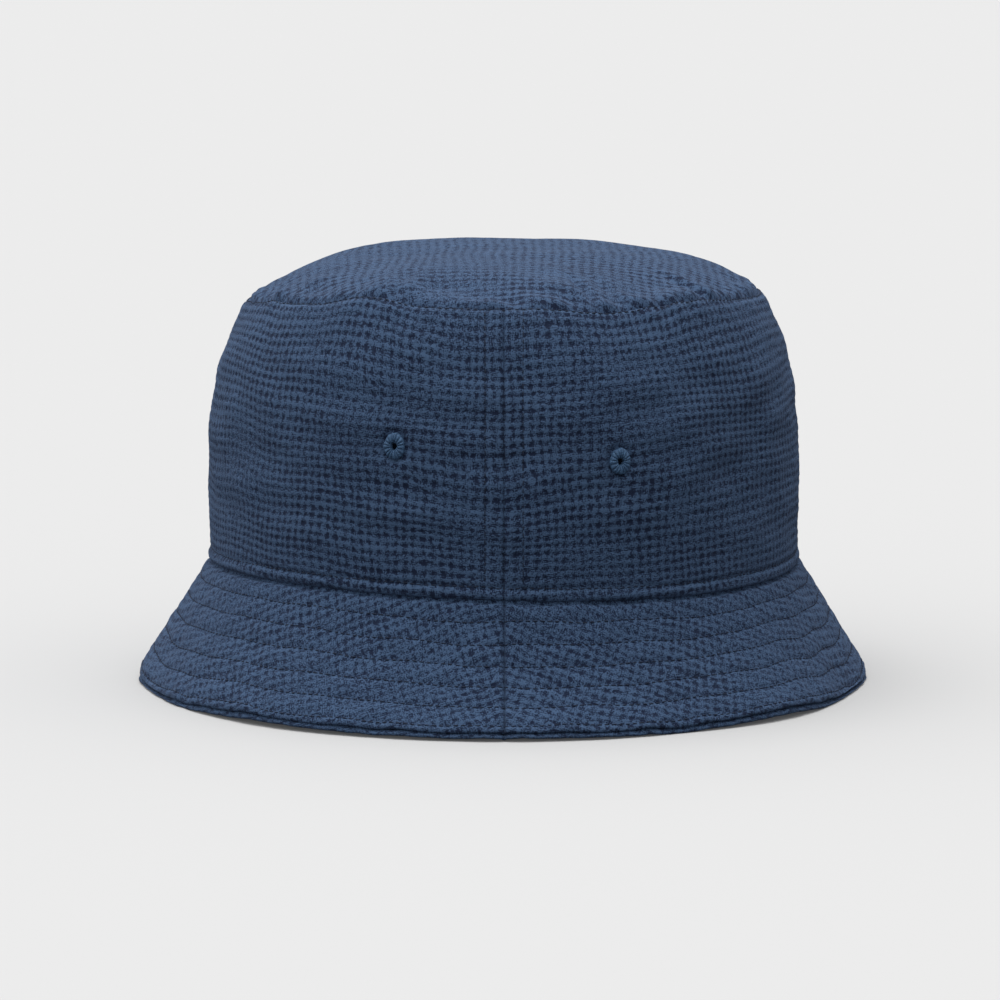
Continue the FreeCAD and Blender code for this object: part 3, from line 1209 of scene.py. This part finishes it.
    def tip_lift(self, angle: np.ndarray, share: np.ndarray, base: np.ndarray) -> np.ndarray:
        """Relief of the tip without its puckers.

        Args:
            angle: angle from the centre back.
            share: share of the way from its middle to its seam.
            base: points of the smooth form.

        Returns:
            Relief in metres.
        """
        radius = self.form.tip_half * share
        edge = (1.0 - share) * self.form.tip_half
        gather = self.gather(base)
        lift = (0.5 * self.broad(base) + 0.3 * self.drape(base) - 0.5) * ramp(edge, 0.0, 12 * MM)
        lift = lift - TIP_EDGE_GROOVE(edge)
        lift += TIP_EDGE_SWELL(edge) * (0.25 + 0.28 * gather)
        lift += TIP_GATHER(edge) * gather
        reach = ramp(-edge, -26 * MM, -8 * MM) * ramp(edge, 0.3 * MM, 2.5 * MM)
        for crease in TIP_CREASES:
            beside = crease.off(angle) * np.maximum(radius, 5 * MM) + 0.1 * edge
            fold = CREASE_SWELL(beside) - bell(beside, crease.width * MM)
            lift += fold * reach * crease.height / MM
        return lift * MM

    def tip(self) -> None:
        """Make the oval top panel, closed at its middle."""
        angle = np.linspace(0.0, math.tau, self.tip_columns + 1)[None, :]
        share = np.linspace(1.0, self.tip_hole, self.tip_rows + 1)[:, None]
        base, normals = self.form.tip(angle, share)
        uv = base[..., :2] + self.tip_slip_size * together(self.slip(base), self.slip_up(base))
        lift = self.tip_lift(angle, share, base)
        face = self.laid(base, normals, lift + self.tip_pucker * self.cells(uv, base))
        back = self.laid(base, normals, lift - SHELL)
        cloth = ClothMesh()
        fine = cloth.add_points(face[:, :-1], uv[:, :-1])
        coarse = cloth.add_points(back[::2, :-1:2], uv[::2, :-1:2])
        fine, coarse = (np.column_stack([numbers, numbers[:, 0]]) for numbers in (fine, coarse))
        cloth.add_quads(fine)
        cloth.add_quads(coarse, flipped=True)
        cloth.add_rim(fine[0].tolist(), coarse[0].tolist())
        middle_uv = uv[-1, :-1].mean(axis=0)[None, :]
        for ring, points, flipped in ((fine[-1], face, False), (coarse[-1], back, True)):
            middle = cloth.add_points(points[-1, :-1].mean(axis=0)[None, :], middle_uv)
            cloth.add_fan(ring, int(middle[0]), flipped)
        piece = finish_piece(cloth.build("tip_cloth"), self.finishes.cloth, "crown_tip")

    def path_round(self, distance: float, lift: float) -> np.ndarray:
        """Path round the crown.

        Args:
            distance: distance above the headline.
            lift: height over the cloth.

        Returns:
            Points of the path.
        """
        angle = np.linspace(-math.pi, math.pi, 900, endpoint=False)
        level = np.full_like(angle, distance)
        level += 0.15 * MM * self.gather(self.form.crown(angle, level)[0])
        return self.side_points(angle, level, -lift, puckered=False)[0]

    def path_up(self, offset: float, front: bool) -> np.ndarray:
        """Path up the crown beside the back or front seam.

        Args:
            offset: distance from the seam, negative on the left.
            front: whether it is the front seam.

        Returns:
            Points of the path.
        """
        distance = np.linspace(6.5 * MM, self.form.crown_length - 2.0 * MM, 120)
        radius, _, length = self.form.crown_table()
        turn = np.arcsin(offset / np.interp(distance, length, radius))
        angle = math.copysign(math.pi, offset) - turn if front else turn
        return self.side_points(angle, distance, -0.12 * MM, puckered=False)[0]

    def stitching(self, maker: StitchMaker) -> None:
        """Sew all stitch rows of the crown.

        Args:
            maker: sews them.
        """
        tip_row = self.form.crown_length - 0.4 * MM
        maker.sew("headline_stitches", "headline_topstitching", [self.path_round(HEADLINE_ROW, 0.14 * MM)])
        maker.sew("tip_seam_stitches", "tip_seam_stitching", [self.path_round(tip_row, 0.4 * MM)])
        for end, front in (("back", False), ("front", True)):
            twins = [self.path_up(offset, front) for offset in (-TWIN_HALF, TWIN_HALF)]
            maker.sew(end + "_seam_stitches", end + "_seam_topstitching", twins, closed=False)

    def build(self, maker: StitchMaker) -> None:
        """Make the whole crown.

        Args:
            maker: sews its stitch rows.
        """
        self.tip()
        for side, group in self.eyelets.items():
            self.side(side)
            for eyelet in group:
                eyelet.build(self)
        self.stitching(maker)


@dataclass(frozen=True)
class Eyelet:
    """Embroidered vent eyelet: thread wrapped over the edge of a hole, worked close all round."""

    where: str
    angle: float
    half_width: float = 3.2 * MM
    hole: float = 0.8 * MM
    cut_past: float = 0.6 * MM
    tall: float = 1.2
    wraps: int = 17
    proud: float = 1.15 * MM
    steps_round: int = 260
    steps_across: int = 28
    cut_sides: int = 40
    cut_reach: float = 4.0 * MM
    slope_reach: float = 3.0 * MM

    @property
    def node(self) -> str:
        """CAD node that it stands for."""
        return "eyelet_" + self.where

    def place(self, crown: Crown) -> Matrix:
        """Where the eyelet sits.

        Args:
            crown: the crown that it is worked in.

        Returns:
            Its frame: local X across, local Y up, local Z out of the cloth.
        """
        distance = crown.level_of(self.node)
        reach = self.slope_reach
        turn = reach / crown.form.half_width
        around = ((0.0, 0.0), (-turn, 0.0), (turn, 0.0), (0.0, -reach), (0.0, reach))
        spots = [crown.side_points(np.array(self.angle + a), np.array(distance + b), puckered=False)[0]
                 for a, b in around]
        _, left, right, low_spot, high_spot = spots
        across = (right - left) / np.linalg.norm(right - left)
        normal = np.cross(across, high_spot - low_spot)
        normal /= np.linalg.norm(normal)
        matrix = np.eye(4)
        matrix[:3] = np.stack([across, np.cross(normal, across), normal, sum(spots) / len(spots)], -1)
        return Matrix(matrix.tolist())

    def build(self, crown: Crown) -> None:
        """Make the ring of ridged satin stitches on both faces of the cloth.

        Args:
            crown: the crown that it is worked in.
        """
        turn = np.linspace(0, math.tau, self.steps_round + 1)[None, :]
        roll = np.linspace(0, math.tau, self.steps_across + 1)[:, None]
        phase = turn * self.wraps + 0.6 * np.sin(5 * turn) + 0.4 * np.sin(9 * turn + 1.0)
        ridge = np.abs(np.sin(phase / 2)) ** 0.6
        uneven = 0.07 * np.sin(3 * turn + 0.7) + 0.06 * np.sin(7 * turn)
        middle = (self.half_width + self.hole) / 2
        band = (self.half_width - self.hole) / 2 * (1.0 + uneven + 0.1 * (ridge - 1.0))
        swell = np.where(np.sin(roll) > 0, self.proud, self.proud * 0.6 + SHELL)
        radius = middle + band * np.cos(roll)
        height = swell * np.sign(np.sin(roll)) * np.abs(np.sin(roll)) ** 0.8 * (0.55 + 0.45 * ridge)
        points = together(radius * np.sin(turn), self.tall * radius * np.cos(turn), height)
        cloth = ClothMesh()
        numbers = cloth.add_points(points[:-1, :-1], together(turn * middle, roll * middle)[:-1, :-1])
        cloth.add_quads(np.pad(numbers, ((0, 1), (0, 1)), "wrap"), flipped=True)
        piece = cloth.build("eyelet_thread_" + self.where)
        piece.data.transform(self.place(crown))
        finish_piece(piece, crown.finishes.embroidery, self.node)

    def punch(self, crown: Crown) -> bpy.types.Object:
        """Short oval rod that cuts the eyelet's hole in the cloth.

        Args:
            crown: the crown that it is worked in.

        Returns:
            The rod.
        """
        sides = self.cut_sides
        turn = np.linspace(0, math.tau, sides, endpoint=False)
        radius = self.hole + self.cut_past
        ring = together(radius * np.cos(turn), self.tall * radius * np.sin(turn), np.zeros(sides))
        reach = np.array([0.0, 0.0, self.cut_reach])
        numbers = list(range(sides))
        faces = [tuple(reversed(numbers)), tuple(number + sides for number in numbers)]
        for number in numbers:
            after = (number + 1) % sides
            faces.append((number, after, after + sides, number + sides))
        mesh = bpy.data.meshes.new("eyelet_punch")
        mesh.from_pydata(np.concatenate([ring - reach, ring + reach]).tolist(), [], faces)
        mesh.transform(self.place(crown))
        return add_object("eyelet_punch", mesh)


def cut_hole(piece: bpy.types.Object, tool: bpy.types.Object) -> None:
    """Cut one piece with another and remove the tool.

    Args:
        piece: the piece that keeps the hole.
        tool: the closed shape to cut away.
    """
    modifier = piece.modifiers.new("hole", "BOOLEAN")
    modifier.operation = "DIFFERENCE"
    modifier.solver = "MANIFOLD"
    modifier.object = tool
    evaluated = piece.evaluated_get(bpy.context.evaluated_depsgraph_get())
    cut = bpy.data.meshes.new_from_object(evaluated)
    piece.modifiers.clear()
    piece.data = cut
    bpy.data.objects.remove(tool)


# ---- Brim -------------------------------------------------------------------------------------------

BRIM_ROW_GROOVE = Ridge(0.0, 0.3, 0.26)
BRIM_TOP_GROOVE = Ridge(0.0, 0.9, 0.7 * MM)
BRIM_EDGE_GROOVE = Ridge(0.0, 0.7, 0.7 * MM)
BRIM_SEAM_GROOVE = Ridge(0.0, 0.65, 0.4 * MM)
BRIM_SEAM_SWELL = Ridge(1.8 * MM, 0.22, 1.2 * MM)


@dataclass(frozen=True)
class Ply:
    """One layer of the brim: its names, where it lies and how far it reaches.

    Distances are slant distances from the headline, first for the inner edge, negative where it is tucked up
    behind the crown, and last for the outer edge. Ends stop short of the seams by the inset, an angle.
    """

    piece: str
    node: str
    material: bpy.types.Material
    slot: Slot
    depth: float
    thickness: float
    first: float
    last: float
    fine_above: bool = True
    inset: float = 0.0


@dataclass
class Brim:
    """Upper brim, interlining and under brim, quilted together by rows of topstitching."""

    form: HatForm
    finishes: Finishes
    crown: Crown
    columns: int = 560
    rows: int = 76
    puff: float = 0.22
    pucker_above: float = 0.65
    pucker_below: float = -0.7
    under_shows: float = 1.5 * MM
    grain_turn: float = math.radians(22.0)
    slip_size: float = 0.6 * MM
    row_wander: float = 0.3 * MM
    hollow: float = 2.3
    hollow_reach: float = math.radians(50.0)
    hem_wave: float = 0.3 * MM
    hem_start: float = 28.0 * MM
    floor_gap: float = 0.02 * MM
    squeezed: float = 0.7

    def __post_init__(self) -> None:
        """Fix the unevenness of the brim."""
        self.broad = Unevenness(21, 70.0 * MM)
        self.ripple = Unevenness(22, 6.5 * MM)
        self.wander = Unevenness(23, 24.0 * MM)
        self.slip = Unevenness(24, 26.0 * MM)
        self.hem = Unevenness(25, 16.0 * MM)

    @property
    def thickness(self) -> float:
        """Thickness of all the layers together."""
        return 2.0 * SHELL + INTERLINING + 2.0 * LAYER_GAP

    def uv(self, arc: np.ndarray, distance: np.ndarray, base: np.ndarray) -> np.ndarray:
        """Place on the cut brim, whose rows climb towards both seams.

        Args:
            arc: distance round the headline.
            distance: slant distance below it.
            base: points of the smooth form.

        Returns:
            The place in metres.
        """
        quarter = self.form.half_round / 2
        grown = 1.0 + self.form.flare_rate * self.form.headline / self.form.half_width / 2
        t = self.form.seam_distance(arc) / quarter
        climb = quarter * (t - t ** 5 / 5) * grown
        lean = np.sign(arc) * np.sign(np.abs(arc) - quarter) * (1.0 - t ** 4)
        sine, cosine = math.sin(self.grain_turn), math.cos(self.grain_turn)
        across = arc * grown * cosine - distance * sine * lean + self.slip_size * self.slip(base)
        up = -distance * cosine + climb * sine + self.slip_size * self.wander(base)
        return together(across, up)

    def lift(self, arc: np.ndarray, distance: np.ndarray, base: np.ndarray, upper: bool) -> np.ndarray:
        """Relief of the brim without its puckers.

        Args:
            arc: distance round the headline.
            distance: slant distance below it.
            base: points of the smooth form.
            upper: whether the upper brim's tucked edges show.

        Returns:
            Relief in metres.
        """
        length = self.form.brim_length
        seam = self.form.seam_distance(arc)
        row = (distance + self.row_wander * self.wander(base) - FIRST_ROW) / ROW_PITCH
        between = np.abs(np.sin(row * math.pi))
        below = distance / length
        off_back = self.form.angle_of(base) / self.hollow_reach
        lift = (self.broad(base) * 0.9 * below + self.puff * (between ** 0.6 - 0.4)
                + 0.16 * self.ripple(base) - 0.7 * below)
        lift = lift - self.hollow * np.sin(below * math.pi) * np.exp(-off_back ** 4)
        lift = lift - BRIM_ROW_GROOVE(between)
        if upper:
            lift = lift - BRIM_TOP_GROOVE(distance) - BRIM_EDGE_GROOVE(length - self.under_shows - distance)
        else:
            lift = lift + 0.3 * ramp(distance, length - 1.9 * MM, length - 0.7 * MM)
        lift -= BRIM_SEAM_GROOVE(seam) - BRIM_SEAM_SWELL(seam)
        return lift * MM

    def points(self, angle: np.ndarray, distance: np.ndarray, depth: float, pucker: float = 0.0,
               upper: bool = True) -> tuple[np.ndarray, np.ndarray]:
        """Brim layer at a depth below its upper face, kept clear of the floor.

        Args:
            angle: angle from the centre back.
            distance: slant distance below the headline.
            depth: depth below the upper face.
            pucker: strength of the fine puckers, negative on a lower face.
            upper: whether the upper brim's tucked edges show.

        Returns:
            Points and their places on the cloth.
        """
        arc = self.form.arc(angle)
        base, normals = self.form.brim(angle, distance)
        uv = self.uv(arc, distance, base)
        lift = self.lift(arc, distance, base, upper)
        if pucker:
            lift = lift + pucker * self.crown.cells(uv, base)
        laid = self.form.settle(base + normals * (lift - depth)[..., None])
        hem = self.hem_wave * (1.0 + self.hem(base)) * ramp(distance, self.hem_start, self.form.brim_length)
        lowest = self.floor_gap + self.squeezed * np.maximum(self.thickness - depth, 0.0)
        laid[..., 2] = np.maximum(laid[..., 2] + hem * (1.0 if upper else 0.3), lowest)
        return laid, uv

    def layer(self, side: Side, ply: Ply) -> None:
        """Make one half of one brim layer and work out how large it was cut: a sector of a flat ring.

        Args:
            side: half of the hat.
            ply: the layer.
        """
        start, end = side.angles
        angle = np.linspace(start + ply.inset, end - ply.inset, self.columns + 1)[None, :]
        distance = np.linspace(ply.last, ply.first, self.rows + 1)[:, None]
        puckers = (self.pucker_above, 0.0) if ply.fine_above else (0.0, self.pucker_below)
        above, uv = self.points(angle, distance, ply.depth, puckers[0], ply.fine_above)
        below, _ = self.points(angle, distance, ply.depth + ply.thickness, puckers[1], ply.fine_above)
        faces = (above, below) if ply.fine_above else (below, above)
        piece = closed_cloth(f"{ply.piece}_{side.word}", *faces, uv, flipped=not ply.fine_above)
        finish_piece(piece, ply.material, f"{ply.node}_{side.word}")
        half_round = self.form.half_round
        inner = half_round / math.pi / math.sin(math.atan(self.form.flare_rate))
        outer = inner + ply.last
        turn = half_round / inner
        width = 2 * outer * math.sin(turn / 2)
        length = outer - inner * math.cos(turn / 2)
        area = turn * (outer ** 2 - inner ** 2) / 2

    def rows_of_thread(self, depth: float) -> list[np.ndarray]:
        """Paths of the topstitching.

        Args:
            depth: depth below the upper face.

        Returns:
            Points of each path.
        """
        angle = np.linspace(-math.pi, math.pi, 1000, endpoint=False)
        paths = []
        for row in range(BRIM_ROWS):
            distance = np.full_like(angle, FIRST_ROW + row * ROW_PITCH)
            distance -= self.row_wander * self.wander(self.form.brim(angle, distance)[0])
            path, _ = self.points(angle, distance, depth)
            path[:, 2] = np.maximum(path[:, 2], 1.5 * THREAD)
            paths.append(path)
        return paths

    def build(self, maker: StitchMaker) -> None:
        """Make the whole brim.

        Args:
            maker: sews its stitch rows.
        """
        length = self.form.brim_length
        edge = length - self.under_shows
        filler = SHELL + LAYER_GAP
        under = filler + INTERLINING + LAYER_GAP
        cloth, felt = self.finishes.brim_cloth, self.finishes.felt
        plies = (
            Ply("brim_cloth", "brim_upper", cloth, Slot.SHELL, 0.0, SHELL, -1.3 * MM, edge),
            Ply("brim_filler", "brim_interlining", felt, Slot.INTERLINING, filler, INTERLINING, 3.0 * MM,
                edge - 2.0 * MM, inset=0.02),
            Ply("brim_lining", "brim_under", cloth, Slot.SHELL, under, SHELL, 0.2 * MM, length - 0.1 * MM,
                fine_above=False),
        )
        for side in Side:
            for ply in plies:
                self.layer(side, ply)
        maker.sew("brim_needle_stitches", "brim_topstitching", self.rows_of_thread(-0.24 * MM))
        maker.sew("brim_bobbin_stitches", "brim_bobbin_stitching", self.rows_of_thread(under + SHELL))
        angle = np.linspace(-math.pi, math.pi, 900, endpoint=False)
        path, _ = self.points(angle, np.full_like(angle, edge - 0.4 * MM), filler + INTERLINING / 2)
        maker.sew("brim_edge_stitches", "brim_edge_seam", [path])


# ---- Inside -----------------------------------------------------------------------------------------

WHOLE_ROUND = (-math.pi + 0.0005, math.pi - 0.0005)
SIDES = ["side_cloth_left", "side_cloth_right"]


@dataclass
class Inside:
    """Sweatband, seam tapes and labels inside the crown."""

    form: HatForm
    finishes: Finishes
    crown: Crown
    tape_half: float = 8.0 * MM
    tape_heights: Pair = (1.6 * MM, 69.0 * MM)
    tip_tape_heights: Pair = (70.5 * MM, 81.5 * MM)
    band_low: float = 0.6 * MM
    band_row: float = 3.0 * MM
    band_wave: float = 0.5 * MM
    wall_gap: float = 0.25 * MM
    label_half_angle: float = math.radians(15.0)
    label_heights: Pair = (49.8 * MM, 66.0 * MM)
    label_margin: float = 1.0 * MM
    label_end_turn: float = 0.035
    label_curl: float = 0.9 * MM

    def wall(self, angle: np.ndarray, distance: np.ndarray, depth: float, wave: float = 0.0) -> np.ndarray:
        """Points inside the crown's inner wall, with soft waves that grow upwards.

        Args:
            angle: angle from the centre back.
            distance: distance above the headline.
            depth: depth below the crown's outer face.
            wave: height of the waves.

        Returns:
            The points.
        """
        base, normals = self.form.crown(angle, distance)
        lift = np.minimum(self.crown.side_lift(self.form.arc(angle), distance, base), 0.0) - self.wall_gap
        soft = wave * distance / SWEATBAND_WIDTH * (self.crown.gather(base * 0.4) - 1.0)
        return self.crown.laid(base, normals, lift - depth + soft)

    def strip(self, name: str, angles: Pair, heights: Pair, depth: float, thickness: float,
              cells: tuple[int, int], wave: float = 0.0) -> bpy.types.Object:
        """Strip of cloth on the crown's inner wall, its good face inwards.

        Args:
            name: name of the piece.
            angles: first and last angle from the centre back.
            heights: lowest and highest distance above the headline.
            depth: depth of its outer face.
            thickness: thickness of the cloth.
            cells: columns and rows of its grid, both even.
            wave: height of its soft waves.

        Returns:
            The piece.
        """
        angle = np.linspace(*angles, cells[0] + 1)[None, :]
        distance = np.linspace(*heights, cells[1] + 1)[:, None]
        uv = together(self.form.arc(angle), distance)
        outer = self.wall(angle, distance, depth, wave)
        inner = self.wall(angle, distance, depth + thickness, wave)
        return closed_cloth(name, inner, outer, uv, flipped=True)

    def band(self, maker: StitchMaker) -> None:
        """Make the sweatband, joined at the back, with a row of stitches along each edge.

        Args:
            maker: sews its stitch rows.
        """
        depth = SHELL + 2 * LAYER_GAP + TAPE
        heights = (self.band_low, SWEATBAND_WIDTH)
        piece = self.strip("sweatband_twill", WHOLE_ROUND, heights, depth, SWEATBAND, (720, 48), self.band_wave)
        finish_piece(piece, self.finishes.sweatband, "sweatband")
        2 * self.form.half_round
        angle = np.linspace(-math.pi, math.pi, 720, endpoint=False)
        paths = [self.wall(angle, np.full_like(angle, distance), depth + SWEATBAND, self.band_wave)
                 for distance in (self.band_row, SWEATBAND_WIDTH - self.band_row)]
        maker.sew("sweatband_stitches", "sweatband_stitching", paths)

    def tapes(self) -> None:
        """Make the tapes over the back seam, the front seam and the tip seam."""
        depth = SHELL + LAYER_GAP
        reach = self.tape_half / self.form.half_width
        tip_round = 2 * self.form.half_round * self.form.tip_half / self.form.half_width
        kinds = (
            ("back", (-reach, reach), self.tape_heights, (24, 80), 2 * self.tape_half, SIDES),
            ("front", (math.pi - reach, math.pi + reach), self.tape_heights, (24, 80), 2 * self.tape_half, SIDES),
            ("tip", WHOLE_ROUND, self.tip_tape_heights, (720, 12), tip_round, SIDES[:1]),
        )
        for word, angles, heights, cells, width, under in kinds:
            piece = self.strip("tape_" + word, angles, heights, depth, TAPE, cells)
            finish_piece(piece, self.finishes.tape, "seam_tape_" + word)
            heights[1] - heights[0]

    def woven_label(self, maker: StitchMaker) -> None:
        """Make the blank label across the back tape, stitched down its two ends.

        Args:
            maker: sews its stitch rows.
        """
        depth = SHELL + 2 * LAYER_GAP + TAPE
        reach = self.label_half_angle
        low, high = self.label_heights
        piece = self.strip("woven_label_ribbon", (-reach, reach), (low, high), depth, LABEL, (60, 24))
        finish_piece(piece, self.finishes.label, "woven_label")
        2 * reach * self.form.half_width
        high - low
        distance = np.linspace(low + self.label_margin, high - self.label_margin, 20)
        paths = [self.wall(np.full_like(distance, angle), distance, depth + LABEL)
                 for angle in (self.label_end_turn - reach, reach - self.label_end_turn)]
        maker.sew("woven_label_stitches", "woven_label_stitching", paths, False, LABEL_THREAD)

    def care_label(self, maker: StitchMaker) -> None:
        """Make the blank care label that hangs from the sweatband by its stitched edge.

        Args:
            maker: sews its stitch row.
        """
        tab_low, tab_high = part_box("care_label_tab")
        flap_low, flap_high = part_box("care_label_flap")
        across = np.linspace(flap_low[1], flap_high[1], 31)[None, :]
        height = np.linspace(flap_low[2], tab_high[2], 61)[:, None]
        hinge = (flap_high[2] + tab_low[2]) / 2
        hang = np.clip((hinge - height) / (hinge - flap_low[2]), 0.0, 1.0)
        curl = self.label_curl * hang ** 2 * np.cos(across / (flap_high[1] - flap_low[1]) * math.pi * 1.2)
        face = together(flap_high[0] + curl, across, height)
        back = face - np.array([LABEL, 0.0, 0.0])
        piece = closed_cloth("care_label_ribbon", face, back, together(across, height))
        piece.data.materials.append(self.finishes.label)
        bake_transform(piece)
        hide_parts("care_label_tab", "care_label_flap")
        row = np.linspace(tab_low[1] + self.label_margin, tab_high[1] - self.label_margin, 20)
        path = together(tab_high[0] + 0.05 * MM, row, (tab_low[2] + tab_high[2]) / 2)
        maker.sew("care_label_stitches", "care_label_stitching", [path], False, LABEL_THREAD)

    def build(self, maker: StitchMaker) -> None:
        """Make everything inside the crown.

        Args:
            maker: sews the stitch rows.
        """
        self.band(maker)
        self.tapes()
        self.woven_label(maker)
        self.care_label(maker)


# ---- Studio -----------------------------------------------------------------------------------------

@dataclass(frozen=True)
class Studio:
    """Pale floor, soft light from above and the camera."""

    camera_height: float = 0.236
    camera_back: float = 1.5
    camera_pitch: float = 83.09
    focal_length: float = 177.8
    sensor_width: float = 36.0
    aim_shift: float = -0.004
    floor_half: float = 30.0
    floor_shade: float = 0.56
    backdrop: float = 0.847
    glow_share: float = 0.06
    sky_up: Scale = (-0.22, -0.12, 0.97)
    sky_range: Pair = (-0.35, 1.0)
    sky_low: float = 0.09
    sky_high: float = 1.2
    lamp_power: float = 1.4
    lamp_spread: float = 55.0
    lamp_turn: Pair = (-2.0, -4.0)

    def floor(self) -> None:
        """Make a plain floor that reaches past the view; part of its brightness is its own."""
        half = self.floor_half
        mesh = bpy.data.meshes.new("floor")
        mesh.from_pydata([(-half, -half, 0), (half, -half, 0), (half, half, 0), (-half, half, 0)], [], [(0, 1, 2, 3)])
        plane = add_object("floor", mesh)
        plane.visible_diffuse = False
        plane.visible_glossy = False
        material = bpy.data.materials.new("pale_floor")
        material.use_nodes = True
        tree = material.node_tree
        Nodes(tree).feed_all(tree.nodes["Principled BSDF"], {
            "Base Color": (self.floor_shade, self.floor_shade, self.floor_shade, 1.0),
            "Roughness": 1.0,
            "Specular IOR Level": 0.0,
            "Emission Color": (1.0, 1.0, 1.0, 1.0),
            "Emission Strength": self.backdrop * self.glow_share,
        })
        mesh.materials.append(material)

    def light(self) -> None:
        """Light the hat with a dome that is brightest overhead, and one broad lamp from the upper left."""
        world = bpy.data.worlds.new("studio")
        world.use_nodes = True
        sky = Nodes(world.node_tree)
        place = sky.add("ShaderNodeTexCoord", {}).outputs["Generated"]
        height = sky.add("ShaderNodeVectorMath", {"operation": "DOT_PRODUCT"}, place, self.sky_up).outputs["Value"]
        grade = sky.add("ShaderNodeMapRange", {"interpolation_type": "SMOOTHSTEP"}, height, *self.sky_range,
                        self.sky_low, self.sky_high)
        sky.feed_all(world.node_tree.nodes["Background"], {
            "Strength": grade.outputs[0],
            "Color": (1.0, 1.0, 1.0, 1.0),
        })
        bpy.context.scene.world = world
        lamp = bpy.data.lights.new("broad_lamp", "SUN")
        lamp.energy = self.lamp_power
        lamp.angle = math.radians(self.lamp_spread)
        add_object("broad_lamp", lamp).rotation_euler = (*map(math.radians, self.lamp_turn), 0.0)

    def camera(self) -> None:
        """Look at the back of the hat from slightly above."""
        data = bpy.data.cameras.new("camera")
        data.lens = self.focal_length
        data.sensor_width = self.sensor_width
        data.shift_x = self.aim_shift
        camera = add_object("camera", data)
        camera.location = (0.0, -self.camera_back, self.camera_height)
        camera.rotation_euler = (math.radians(self.camera_pitch), 0.0, 0.0)
        bpy.context.scene.camera = camera

    def build(self) -> None:
        """Set up the studio."""
        bpy.context.scene.view_settings.view_transform = "Standard"
        self.floor()
        self.light()
        self.camera()


def corners(box: tuple) -> list[list[float]]:
    """A box as plain lists of numbers."""
    return [[float(number) for number in corner] for corner in box]


def main() -> None:
    """Build the hat, dress it and light it."""
    logging.basicConfig(level=logging.INFO)
    Studio().build()
    form = HatForm.from_frame()
    finishes = Finishes.build()
    maker = StitchMaker("stitch_rows", finishes.thread)
    crown = Crown(form, finishes)
    crown.build(maker)
    Brim(form, finishes, crown).build(maker)
    Inside(form, finishes, crown).build(maker)


if __name__ == "__main__":
    main()
